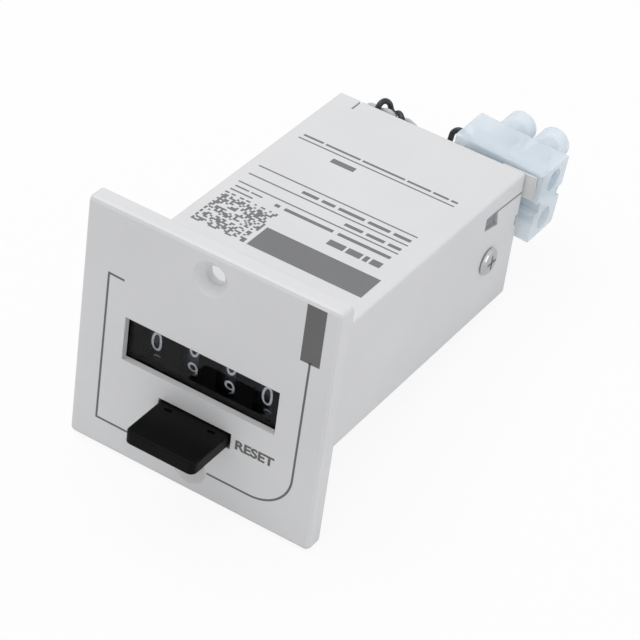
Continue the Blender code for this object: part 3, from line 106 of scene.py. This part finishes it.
# Numerals: sizes in millimetres, weight as the outline's growth, angles in radians
NUMERAL_WIDTH = 1.95
NUMERAL_HEIGHT = 3.6
NUMERAL_WEIGHT = -0.004
NUMERAL_LIFT = 0.01 * MM
CUT_PITCH = 0.33
CUTS_EACH_WAY = 5
DIGIT_ANGLE = math.radians(36)
WHEEL_NAMES = ("units", "tens", "hundreds", "thousands")
BETWEEN_NUMERALS = ("tens", "hundreds")

# Leads: thickness in metres, and routes in millimetres from the coil inside to the strip's clamps
LEAD_THICKNESS = 1.0 * MM
LEAD_STEPS = 8
LEAD_ROUNDNESS = 5
BLACK_LEAD_POINTS = (
    (-10.4, 52.7, 6.5), (-10.4, 56.35, 6.5), (-10.4, 60, 6.5), (-10.4, 62.6, 6.5),
    (-10.63, 63.85, 7.39), (-11.34, 63.73, 9.88), (-11.18, 64.15, 11.16), (-11.12, 64.82, 11.68),
    (-10.83, 65.79, 11.7), (-10.62, 66.96, 10.69), (-10.17, 67, 9.75), (-9.26, 66.44, 9.52),
    (-7.8, 65.44, 10.72), (-6.58, 64.58, 10.26), (-6.08, 64.7, 8.17), (-5.72, 66.15, 6.92),
    (-4.34, 66.74, 5.99), (-1.78, 66.65, 5.89), (0.39, 67.02, 6.89), (1.29, 67.22, 8.39),
    (1.55, 67.39, 10.09), (2.22, 67.6, 10.84), (3.09, 67.82, 10.89), (4.27, 67.95, 10.27),
    (6.47, 67.95, 10.14), (8.46, 67.95, 10.02), (10.36, 67.95, 9.91),
)
GREY_LEAD_POINTS = (
    (-12.6, 52.7, 6.5), (-12.6, 56.35, 6.5), (-12.6, 60, 6.5), (-12.6, 62.6, 6.5),
    (-13, 63.85, 7.2), (-13.84, 64.68, 8.71), (-13.64, 65, 9.66), (-13.02, 65.07, 10.17),
    (-12.1, 64.97, 10.24), (-11.06, 64.91, 10.15), (-9.53, 64.49, 10.84), (-8.62, 64.41, 10.67),
    (-7.98, 64.73, 9.83), (-7.42, 65.69, 9.46), (-7.04, 66.12, 9.37), (-6.25, 66.61, 9.08),
    (-4.64, 66.41, 8.12), (-4.41, 65.12, 5.39), (-3.03, 65.83, 2.98), (-0.51, 66.82, 1.58),
    (1.79, 67.62, 1.78), (3.81, 67.95, 2.49), (6, 67.95, 2.36), (8, 67.95, 2.24),
    (9.9, 67.95, 2.12),
)

# Floor, sky and lamps: lengths in metres, but the gap in millimetres, and power in watts
FLOOR_REACH = 1.6
FLOOR_CELLS = 8
FLOOR_GAP = 0.05
FLOOR_COLOUR = (0.88, 0.88, 0.88)
FLOOR_GLOW = 0.90
FLOOR_IN_REFLECTIONS = (0.55, 0.555, 0.57)
SKY_COLOUR = (0.985, 0.99, 1.0)
SKY_STRENGTH = 0.69
LAMP_TARGET = (0, 0.03, 0)
TOP_LAMP = {"place": (-0.20, 0.0, 0.58), "size": 0.5, "power": 1.5}
SIDE_LAMP = {"place": (0.50, -0.02, 0.14), "size": 0.4, "power": 0.32}

# Camera, from the fit to the photo: place and reach in metres, sensor and lens in millimetres
CAMERA_PLACE = (0.16363, -0.28080, 0.25130)
CAMERA_RIGHT = (0.83736, 0.53399, 0.11695)
CAMERA_UP = (-0.40063, 0.45392, 0.79590)
CAMERA_SENSOR = 36.0
CAMERA_LENS = 153.314
CAMERA_NEAREST = 0.01
CAMERA_FURTHEST = 20.0

# Shader values that all solid materials share
CLOUD_DETAIL = 3.0
CLOUD_FROM = 0.3
CLOUD_TO = 0.7
BUMP_STRENGTH = 0.5
BEVEL_SAMPLES = 4

# The clear pane: its tint, the scale of its haze, and how sharp and how strong it reflects
PANE_TINT = (0.97, 0.98, 0.98)
PANE_NOISE = 400.0
PANE_ROUGHNESS = (0.01, 0.04)
PANE_IOR = 1.33


def node(tree, kind, **inputs):
    """Adds a node; inputs are set by name, with underscores for spaces."""
    item = tree.nodes.new(kind)
    for key, value in inputs.items():
        item.inputs[key.replace("_", " ")].default_value = value
    return item


def noise_at(tree, vector, scale, detail=2.0):
    """Noise texture on the coordinates that the socket gives."""
    noise = node(tree, "ShaderNodeTexNoise", Scale=scale, Detail=detail)
    tree.links.new(vector, noise.inputs["Vector"])
    return noise


def mix_shaders(tree, factor, first, second):
    """Mix of two shader nodes: the first where the factor is 0, the second where it is 1."""
    mix = tree.nodes.new("ShaderNodeMixShader")
    tree.links.new(factor, mix.inputs[0])
    tree.links.new(first.outputs[0], mix.inputs[1])
    tree.links.new(second.outputs[0], mix.inputs[2])
    return mix


def seen_directly(tree, path):
    """Socket that is 1 for what the camera sees, also through clear pieces, and else 0."""
    most = tree.nodes.new("ShaderNodeMath")
    most.operation = "MAXIMUM"
    tree.links.new(path.outputs["Is Camera Ray"], most.inputs[0])
    tree.links.new(path.outputs["Is Transmission Ray"], most.inputs[1])
    return most.outputs[0]


def surface(name, colour, other, roughness, spread=0.06, metallic=0.0, blotch=70.0, grain=2600.0,
            depth=0.004, edge=0.12, stretch=None, **extra):
    """Material whose colour, roughness and relief vary over the object, with softened edges.

    Depth of the relief and radius of the edges are in millimetres, and 0 leaves the edges sharp.
    """
    mat = bpy.data.materials.new(name)
    mat.use_nodes = True
    tree = mat.node_tree
    link = tree.links.new
    shader = tree.nodes["Principled BSDF"]
    vector = tree.nodes.new("ShaderNodeTexCoord").outputs["Object"]

    cloud = noise_at(tree, vector, blotch, CLOUD_DETAIL)
    ramp = node(tree, "ShaderNodeMapRange", From_Min=CLOUD_FROM, From_Max=CLOUD_TO)
    link(cloud.outputs["Fac"], ramp.inputs["Value"])
    mix = tree.nodes.new("ShaderNodeMix")
    mix.data_type = "RGBA"
    mix.inputs["A"].default_value = (*colour, 1.0)
    mix.inputs["B"].default_value = (*other, 1.0)
    link(ramp.outputs["Result"], mix.inputs["Factor"])
    link(mix.outputs["Result"], shader.inputs["Base Color"])

    if stretch:
        mapping = node(tree, "ShaderNodeMapping", Scale=stretch)
        link(vector, mapping.inputs["Vector"])
        vector = mapping.outputs["Vector"]
    fine = noise_at(tree, vector, grain)
    rough = node(tree, "ShaderNodeMapRange", To_Min=roughness - spread, To_Max=roughness + spread)
    link(fine.outputs["Fac"], rough.inputs["Value"])
    link(rough.outputs["Result"], shader.inputs["Roughness"])

    bump = node(tree, "ShaderNodeBump", Strength=BUMP_STRENGTH, Distance=depth * MM)
    link(fine.outputs["Fac"], bump.inputs["Height"])
    if edge:
        soft = node(tree, "ShaderNodeBevel", Radius=edge * MM)
        soft.samples = BEVEL_SAMPLES
        link(soft.outputs["Normal"], bump.inputs["Normal"])
    link(bump.outputs["Normal"], shader.inputs["Normal"])

    shader.inputs["Metallic"].default_value = metallic
    for key, value in extra.items():
        shader.inputs[key.replace("_", " ")].default_value = value
    return mat


def clear_material(name):
    """Clear pane: light goes straight through, and the outer faces mirror a little."""
    mat = bpy.data.materials.new(name)
    mat.use_nodes = True
    tree = mat.node_tree
    tree.nodes.clear()
    link = tree.links.new
    through = node(tree, "ShaderNodeBsdfTransparent", Color=(*PANE_TINT, 1.0))
    mirror = node(tree, "ShaderNodeBsdfAnisotropic", Color=(1.0, 1.0, 1.0, 1.0))
    coords = tree.nodes.new("ShaderNodeTexCoord")
    haze = noise_at(tree, coords.outputs["Object"], PANE_NOISE)
    smoothest, roughest = PANE_ROUGHNESS
    rough = node(tree, "ShaderNodeMapRange", To_Min=smoothest, To_Max=roughest)
    link(haze.outputs["Fac"], rough.inputs["Value"])
    link(rough.outputs["Result"], mirror.inputs["Roughness"])

    fresnel = node(tree, "ShaderNodeFresnel", IOR=PANE_IOR)
    side = tree.nodes.new("ShaderNodeNewGeometry")
    outer = node(tree, "ShaderNodeMix", B=0.0)
    link(side.outputs["Backfacing"], outer.inputs["Factor"])
    link(fresnel.outputs["Fac"], outer.inputs["A"])
    both = mix_shaders(tree, outer.outputs["Result"], through, mirror)
    out = tree.nodes.new("ShaderNodeOutputMaterial")
    link(both.outputs[0], out.inputs["Surface"])
    return mat


WHITE = surface("white_moulding", (0.745, 0.745, 0.75), (0.72, 0.72, 0.725), 0.42, depth=0.006)
COVER = surface("cover_moulding", (0.73, 0.73, 0.73), (0.70, 0.70, 0.70), 0.45, depth=0.006)
BLACK = surface("black_moulding", (0.0035, 0.0036, 0.0040), (0.0048, 0.0048, 0.0052), 0.36,
                edge=0.2, Specular_IOR_Level=0.10)
MASK = surface("mask_moulding", (0.0017, 0.0017, 0.0018), (0.0024, 0.0024, 0.0025), 0.5,
               depth=0.003, edge=0.05, Specular_IOR_Level=0.03)
WHEEL = surface("wheel_moulding", (0.0115, 0.0115, 0.0145), (0.0095, 0.0095, 0.0125), 0.25,
                spread=0.04, depth=0.001, edge=0.05, Specular_IOR_Level=0.5)
PINION = surface("pinion_moulding", (0.72, 0.69, 0.58), (0.66, 0.63, 0.52), 0.42, depth=0.003)
FRAME = surface("frame_moulding", (0.28, 0.27, 0.31), (0.24, 0.23, 0.27), 0.45)
STRIP = surface("strip_moulding", (0.835, 0.92, 1.0), (0.805, 0.90, 0.99), 0.30, spread=0.03,
                blotch=90.0, grain=900.0, depth=0.001, edge=0.15, Subsurface_Weight=0.25,
                Subsurface_Scale=0.002, Subsurface_Radius=(1.0, 1.0, 1.0), IOR=1.35, Alpha=0.62)
STEEL = surface("plated_steel", (0.82, 0.82, 0.83), (0.76, 0.76, 0.77), 0.25, spread=0.03,
                metallic=1.0, grain=1500.0, depth=0.0005, edge=0.08)
SHAFT = surface("drawn_steel", (0.66, 0.66, 0.67), (0.60, 0.60, 0.62), 0.22, metallic=1.0,
                depth=0.001, stretch=(0.05, 1, 1))
IRON = surface("soft_iron", (0.50, 0.49, 0.48), (0.42, 0.41, 0.40), 0.38, metallic=1.0)
NICKEL = surface("nickel_plated_brass", (0.84, 0.84, 0.83), (0.78, 0.78, 0.77), 0.3,
                 metallic=1.0, depth=0.002, stretch=(0.05, 1, 1))
TAPE = surface("winding_tape", (0.56, 0.27, 0.07), (0.47, 0.21, 0.05), 0.35, depth=0.006,
               stretch=(1, 0.1, 1))
BLACK_LEAD = surface("black_insulation", (0.024, 0.026, 0.034), (0.032, 0.034, 0.042), 0.32,
                     edge=0)
GREY_LEAD = surface("grey_insulation", (0.58, 0.61, 0.62), (0.52, 0.55, 0.56), 0.38, edge=0)
PRINT = surface("dark_print", (0.150, 0.150, 0.150), (0.135, 0.135, 0.133), 0.5, grain=5000.0,
                depth=0.002, edge=0)
TOP_PRINT = surface("grey_print", (0.195, 0.196, 0.200), (0.180, 0.181, 0.185), 0.5,
                    grain=5000.0, depth=0.002, edge=0)
NUMERAL = surface("numeral_print", (0.84, 0.86, 0.92), (0.79, 0.81, 0.87), 0.5, grain=5000.0,
                  depth=0.002, edge=0)
PANE = clear_material("clear_pane")

NODE_MATERIALS = {
    "housing": WHITE,
    "rear_cover": COVER,
    "window_pane": PANE,
    "digit_mask": MASK,
    "reset_key": BLACK,
    "number_wheel_units": WHEEL,
    "number_wheel_tens": WHEEL,
    "number_wheel_hundreds": WHEEL,
    "number_wheel_thousands": WHEEL,
    "transfer_pinion_1": PINION,
    "transfer_pinion_2": PINION,
    "transfer_pinion_3": PINION,
    "wheel_shaft": SHAFT,
    "pinion_shaft": SHAFT,
    "reset_comb": STEEL,
    "reset_spring": SHAFT,
    "chassis": FRAME,
    "coil_bobbin": FRAME,
    "coil_winding": TAPE,
    "magnet_core": IRON,
    "magnet_yoke": IRON,
    "core_screw": STEEL,
    "armature": IRON,
    "armature_pin": SHAFT,
    "armature_spring": SHAFT,
    "side_screw_right": STEEL,
    "side_screw_left": STEEL,
    "terminal_strip": STRIP,
    "terminal_sleeve_upper": NICKEL,
    "terminal_sleeve_lower": NICKEL,
    "terminal_screw_1": STEEL,
    "terminal_screw_2": STEEL,
    "terminal_screw_3": STEEL,
    "terminal_screw_4": STEEL,
    "strip_screw": STEEL,
    "lead_black": BLACK_LEAD,
    "lead_grey": GREY_LEAD,
}
for name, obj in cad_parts.items():
    obj.data.materials.clear()
    obj.data.materials.append(NODE_MATERIALS[name])


def piece(name, bm, mat, body):
    """Turns a bmesh into a visible piece that rides on a body."""
    bmesh.ops.recalc_face_normals(bm, faces=bm.faces)
    mesh = bpy.data.meshes.new(name)
    bm.to_mesh(mesh)
    bm.free()
    mesh.materials.append(mat)
    obj = bpy.data.objects.new(name, mesh)
    bpy.context.scene.collection.objects.link(obj)
    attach(obj, body)


def on_plate(x, z):
    """Place on the front of the plate, from millimetres."""
    return Vector((x * MM, PLATE_FRONT, z * MM))


def on_top(x, y):
    """Place on the housing's top, from millimetres."""
    return Vector((x * MM, y * MM, TOP_FACE))


def rectangle(bm, place, u0, u1, v0, v1, lift):
    """Thin closed field of ink on the surface of place; lift points away from it."""
    corners = [place(u0, v0), place(u1, v0), place(u1, v1), place(u0, v1)]
    low = [bm.verts.new(corner) for corner in corners]
    high = [bm.verts.new(corner + lift) for corner in corners]
    bm.faces.new(low[::-1])
    bm.faces.new(high)
    count = len(corners)
    for index in range(count):
        after = (index + 1) % count
        bm.faces.new((low[index], low[after], high[after], high[index]))


def printed_line(bm, place, points, width, lift):
    """Printed line along points, as one closed strip with mitred corners."""
    left, right = [], []
    count = len(points)
    for index in range(count):
        here = Vector(points[index])
        before = Vector(points[max(index - 1, 0)])
        after = Vector(points[min(index + 1, count - 1)])
        first = (here - before).normalized() if index > 0 else (after - here).normalized()
        second = (after - here).normalized() if index < count - 1 else first
        normal = Vector((-(first + second).y, (first + second).x)).normalized()
        reach = width / 2 / max(normal.dot(Vector((-first.y, first.x))), SHARPEST_MITRE)
        left.append(here + normal * reach)
        right.append(here - normal * reach)
    low_l = [bm.verts.new(place(*p)) for p in left]
    low_r = [bm.verts.new(place(*p)) for p in right]
    high_l = [bm.verts.new(place(*p) + lift) for p in left]
    high_r = [bm.verts.new(place(*p) + lift) for p in right]
    for index in range(count - 1):
        after = index + 1
        bm.faces.new((high_l[index], high_l[after], high_r[after], high_r[index]))
        bm.faces.new((low_l[after], low_l[index], low_r[index], low_r[after]))
        bm.faces.new((low_l[index], low_l[after], high_l[after], high_l[index]))
        bm.faces.new((low_r[after], low_r[index], high_r[index], high_r[after]))
    bm.faces.new((low_l[0], high_l[0], high_r[0], low_r[0]))
    bm.faces.new((high_l[-1], low_l[-1], low_r[-1], high_r[-1]))


def letters(text, weight):
    """Filled outline of plain lettering about its own middle, and its size."""
    curve = bpy.data.curves.new("lettering", "FONT")
    curve.body = text
    curve.offset = weight
    curve.resolution_u = LETTER_STEPS
    curve.fill_mode = "FRONT"
    obj = bpy.data.objects.new("lettering", curve)
    bpy.context.scene.collection.objects.link(obj)
    bpy.context.view_layer.update()
    depsgraph = bpy.context.evaluated_depsgraph_get()
    mesh = bpy.data.meshes.new_from_object(obj.evaluated_get(depsgraph))
    bpy.data.objects.remove(obj, do_unlink=True)
    bm = bmesh.new()
    bm.from_mesh(mesh)
    bpy.data.meshes.remove(mesh)
    bmesh.ops.remove_doubles(bm, verts=bm.verts, dist=MERGE_DISTANCE)
    low = Vector((min(v.co.x for v in bm.verts), min(v.co.y for v in bm.verts), 0))
    high = Vector((max(v.co.x for v in bm.verts), max(v.co.y for v in bm.verts), 0))
    bmesh.ops.translate(bm, vec=-(low + high) / 2, verts=bm.verts)
    return bm, high - low


def thicken(bm, depth):
    """Gives flat lettering a closed thickness along +Z."""
    faces = bm.faces[:]
    result = bmesh.ops.extrude_face_region(bm, geom=faces, use_keep_orig=True)
    moved = [item for item in result["geom"] if isinstance(item, bmesh.types.BMVert)]
    bmesh.ops.translate(bm, vec=(0, 0, depth), verts=moved)


def plate_print():
    """Frame line, dark field and the key's lettering on the front plate."""
    bm = bmesh.new()
    printed_line(bm, on_plate, PLATE_LINE_LEFT, PLATE_LINE_WIDTH, OUT_OF_PLATE)
    route = list(PLATE_LINE_BOTTOM)
    for step in range(1, CORNER_STEPS):
        angle = -math.pi / 2 + step / CORNER_STEPS * math.pi / 2
        route.append((CORNER_MIDDLE[0] + CORNER_REACH[0] * math.cos(angle),
                      CORNER_MIDDLE[1] + CORNER_REACH[1] * math.sin(angle)))
    route += PLATE_LINE_RIGHT
    printed_line(bm, on_plate, route, PLATE_LINE_WIDTH, OUT_OF_PLATE)
    rectangle(bm, on_plate, *PLATE_FIELD, OUT_OF_PLATE)
    piece("plate_print", bm, PRINT, "body")

    bm, size = letters(KEY_WORD, KEY_WORD_WEIGHT)
    width, height = KEY_WORD_SIZE
    bmesh.ops.scale(bm, vec=(width * MM / size.x, height * MM / size.y, 1), verts=bm.verts)
    thicken(bm, INK)
    upright = Matrix.Rotation(math.pi / 2, 4, "X")
    turn = Matrix.Translation(on_plate(*KEY_WORD_PLACE)) @ upright
    bmesh.ops.transform(bm, matrix=turn, verts=bm.verts)
    piece("key_lettering", bm, PRINT, "body")


def dashes(bm, row, start, end, height, lengths, gap):
    """Row of plain dashes that fills the place of small print, laid from its right end."""
    x = end
    index = 0
    while x - start > SHORTEST_DASH:
        reach = min(lengths[index % len(lengths)], x - start)
        rectangle(bm, on_top, x - reach, x, row - height / 2, row + height / 2, OUT_OF_TOP)
        x -= reach + gap
        index += 1


def cell_is_dark(row, column):
    """Plain mixing formula that darkens about half of the speckled square's cells."""
    by_row, by_column, by_product, by_bits = SQUARE_FACTORS
    value = row * by_row + column * by_column + row * column * by_product
    value += (row ^ column) * by_bits
    return value % SQUARE_RANGE * 2 < SQUARE_RANGE


def top_print():
    """Dark bar, thin rules, dashes and speckled square on the housing's top."""
    bm = bmesh.new()
    rectangle(bm, on_top, *TOP_BAR, OUT_OF_TOP)
    half = TOP_RULE_WIDTH / 2
    for y, left in TOP_RULES:
        rectangle(bm, on_top, left, TOP_RULE_RIGHT, y - half, y + half, OUT_OF_TOP)
    rectangle(bm, on_top, *TOP_FIELD, OUT_OF_TOP)
    for dash_row in DASH_ROWS:
        dashes(bm, *dash_row)
    piece("top_print", bm, TOP_PRINT, "body")

    bm = bmesh.new()
    size = SQUARE_SIZE / SQUARE_CELLS
    for row in range(SQUARE_CELLS):
        for column in range(SQUARE_CELLS):
            if cell_is_dark(row, column):
                x = SQUARE_CORNER[0] + column * size
                y = SQUARE_CORNER[1] + row * size
                rectangle(bm, on_top, x + SQUARE_GAP, x + size - SQUARE_GAP,
                          y + SQUARE_GAP, y + size - SQUARE_GAP, OUT_OF_TOP)
    piece("speckled_square", bm, TOP_PRINT, "body")


def bend_round_rim(bm, wheel_x, middle):
    """Lays a flat numeral round a wheel's rim, with its middle at an angle above the front."""
    for vert in bm.verts:
        angle = middle + vert.co.y / WHEEL_RADIUS
        radius = WHEEL_RADIUS + NUMERAL_LIFT + vert.co.z
        vert.co = Vector((wheel_x + vert.co.x, WHEEL_Y - radius * math.cos(angle),
                          WHEEL_Z + radius * math.sin(angle)))


def wheel_numerals():
    """Ten numerals round the rim of each wheel; the next higher numeral lies above."""
    zero, size = letters("0", NUMERAL_WEIGHT)
    zero.free()
    scale = (NUMERAL_WIDTH * MM / size.x, NUMERAL_HEIGHT * MM / size.y, 1)
    for index, name in enumerate(WHEEL_NAMES):
        wheel_x = ((len(WHEEL_NAMES) - 1) / 2 - index) * WHEEL_PITCH
        offset = DIGIT_ANGLE / 2 if name in BETWEEN_NUMERALS else 0.0
        whole = bmesh.new()
        for digit in range(10):
            bm = letters(str(digit), NUMERAL_WEIGHT)[0]
            bmesh.ops.scale(bm, vec=scale, verts=bm.verts)
            for step in range(-CUTS_EACH_WAY, CUTS_EACH_WAY + 1):
                geom = bm.verts[:] + bm.edges[:] + bm.faces[:]
                cut = (0, step * CUT_PITCH * MM, 0)
                bmesh.ops.bisect_plane(bm, geom=geom, plane_co=cut, plane_no=(0, 1, 0))
            thicken(bm, INK)
            bend_round_rim(bm, wheel_x, digit * DIGIT_ANGLE + offset)
            mesh = bpy.data.meshes.new("numeral")
            bm.to_mesh(mesh)
            bm.free()
            whole.from_mesh(mesh)
            bpy.data.meshes.remove(mesh)
        piece("numerals_" + name, whole, NUMERAL, name + "_wheel")


def smooth_line(points, steps):
    """Smooth curve through the points, with so many steps from each point to the next."""
    line = []
    spans = len(points) - 1
    for index in range(spans * steps + 1):
        span = min(index // steps, spans - 1)
        t = index / steps - span
        p0, p1, p2, p3 = (Vector(points[min(max(span + k, 0), spans)]) for k in (-1, 0, 1, 2))
        place = 0.5 * (2 * p1 + (p2 - p0) * t + (2 * p0 - 5 * p1 + 4 * p2 - p3) * t ** 2
                       + (3 * p1 - p0 - 3 * p2 + p3) * t ** 3)
        line.append(place * MM)
    return line


def lead(name, points, mat):
    """Thin insulated lead on the route of its solid, round and smooth."""
    curve = bpy.data.curves.new(name + "_insulation", "CURVE")
    curve.dimensions = "3D"
    curve.bevel_depth = LEAD_THICKNESS / 2
    curve.bevel_resolution = LEAD_ROUNDNESS
    curve.use_fill_caps = True
    curve.materials.append(mat)
    line = smooth_line(points, LEAD_STEPS)
    spline = curve.splines.new("POLY")
    spline.points.add(len(line) - 1)
    spline.use_smooth = True
    for point, place in zip(spline.points, line):
        point.co = (*place, 1.0)
    obj = bpy.data.objects.new(name + "_insulation", curve)
    bpy.context.scene.collection.objects.link(obj)
    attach(obj, "body")
    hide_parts(name)


def pressed_spring():
    """Copy of the reset spring, which the pushed key presses against the bulkhead."""
    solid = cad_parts["reset_spring"]
    mesh = solid.data.copy()
    mesh.transform(solid.matrix_world)
    spring = bpy.data.objects.new("reset_spring_wire", mesh)
    bpy.context.scene.collection.objects.link(spring)
    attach(spring, "body")
    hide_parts("reset_spring")
    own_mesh(spring)


def floor_material():
    """White floor: mostly self-lit where it is seen, dim in reflections, plain white to light."""
    mat = bpy.data.materials.new("pale_floor")
    mat.use_nodes = True
    tree = mat.node_tree
    tree.nodes.clear()
    link = tree.links.new
    diffuse = node(tree, "ShaderNodeBsdfDiffuse", Color=(*FLOOR_COLOUR, 1))
    glow = node(tree, "ShaderNodeEmission", Color=(1, 1, 1, 1))
    dim = node(tree, "ShaderNodeEmission", Color=(*FLOOR_IN_REFLECTIONS, 1))
    path = tree.nodes.new("ShaderNodeLightPath")
    share = tree.nodes.new("ShaderNodeMath")
    share.operation = "MULTIPLY"
    share.inputs[1].default_value = FLOOR_GLOW
    link(seen_directly(tree, path), share.inputs[0])
    lit = mix_shaders(tree, share.outputs[0], diffuse, glow)
    mirrored = mix_shaders(tree, path.outputs["Is Glossy Ray"], lit, dim)
    out = tree.nodes.new("ShaderNodeOutputMaterial")
    link(mirrored.outputs[0], out.inputs["Surface"])
    return mat


def build_floor():
    """Pale floor that touches the plate's bottom edge and the housing's rear bottom edge."""
    front_edge = Vector((0, 0, PLATE_BOTTOM))
    rear_edge = Vector((0, HOUSING_REAR, -TOP_FACE))
    along = (rear_edge - front_edge).normalized()
    normal = Vector((1, 0, 0)).cross(along)
    bm = bmesh.new()
    bmesh.ops.create_grid(bm, x_segments=FLOOR_CELLS, y_segments=FLOOR_CELLS, size=FLOOR_REACH)
    turn = Matrix((Vector((1, 0, 0)), along, normal)).transposed().to_4x4()
    middle = (front_edge + rear_edge) / 2 - normal * FLOOR_GAP * MM
    bmesh.ops.transform(bm, matrix=Matrix.Translation(middle) @ turn, verts=bm.verts)
    mesh = bpy.data.meshes.new("floor")
    bm.to_mesh(mesh)
    bm.free()
    mesh.materials.append(floor_material())
    floor = bpy.data.objects.new("floor", mesh)
    bpy.context.scene.collection.objects.link(floor)


def build_world():
    """Even, slightly blue light from all sides, and plain white where the sky itself is seen."""
    world = bpy.data.worlds.new("studio")
    bpy.context.scene.world = world
    world.use_nodes = True
    tree = world.node_tree
    tree.nodes.clear()
    soft = node(tree, "ShaderNodeBackground", Color=(*SKY_COLOUR, 1), Strength=SKY_STRENGTH)
    white = node(tree, "ShaderNodeBackground", Color=(1, 1, 1, 1), Strength=1.0)
    path = tree.nodes.new("ShaderNodeLightPath")
    sky = mix_shaders(tree, seen_directly(tree, path), soft, white)
    out = tree.nodes.new("ShaderNodeOutputWorld")
    tree.links.new(sky.outputs[0], out.inputs["Surface"])


def area_light(name, place, size, power):
    """Square lamp that points at the middle of the counter."""
    data = bpy.data.lights.new(name, "AREA")
    data.shape = "SQUARE"
    data.size = size
    data.energy = power
    light = bpy.data.objects.new(name, data)
    light.location = place
    aim = Vector(LAMP_TARGET) - Vector(place)
    light.rotation_euler = aim.to_track_quat("-Z", "Y").to_euler()
    bpy.context.scene.collection.objects.link(light)


def build_camera():
    """Long lens from the front right and above, rolled a little as the counter lies tilted."""
    right = Vector(CAMERA_RIGHT)
    back = right.cross(Vector(CAMERA_UP)).normalized()
    up = back.cross(right).normalized()
    turn = Matrix((right.normalized(), up, back)).transposed().to_4x4()
    data = bpy.data.cameras.new("photo_camera")
    data.sensor_width = CAMERA_SENSOR
    data.lens = CAMERA_LENS
    data.clip_start = CAMERA_NEAREST
    data.clip_end = CAMERA_FURTHEST
    camera = bpy.data.objects.new("photo_camera", data)
    camera.matrix_world = Matrix.Translation(CAMERA_PLACE) @ turn
    bpy.context.scene.collection.objects.link(camera)
    bpy.context.scene.camera = camera


plate_print()
top_print()
pressed_spring()
wheel_numerals()
lead("lead_black", BLACK_LEAD_POINTS, BLACK_LEAD)
lead("lead_grey", GREY_LEAD_POINTS, GREY_LEAD)

build_floor()
build_world()
area_light("top_soft_light", **TOP_LAMP)
area_light("side_soft_light", **SIDE_LAMP)
build_camera()
bpy.context.scene.view_settings.view_transform = "Standard"
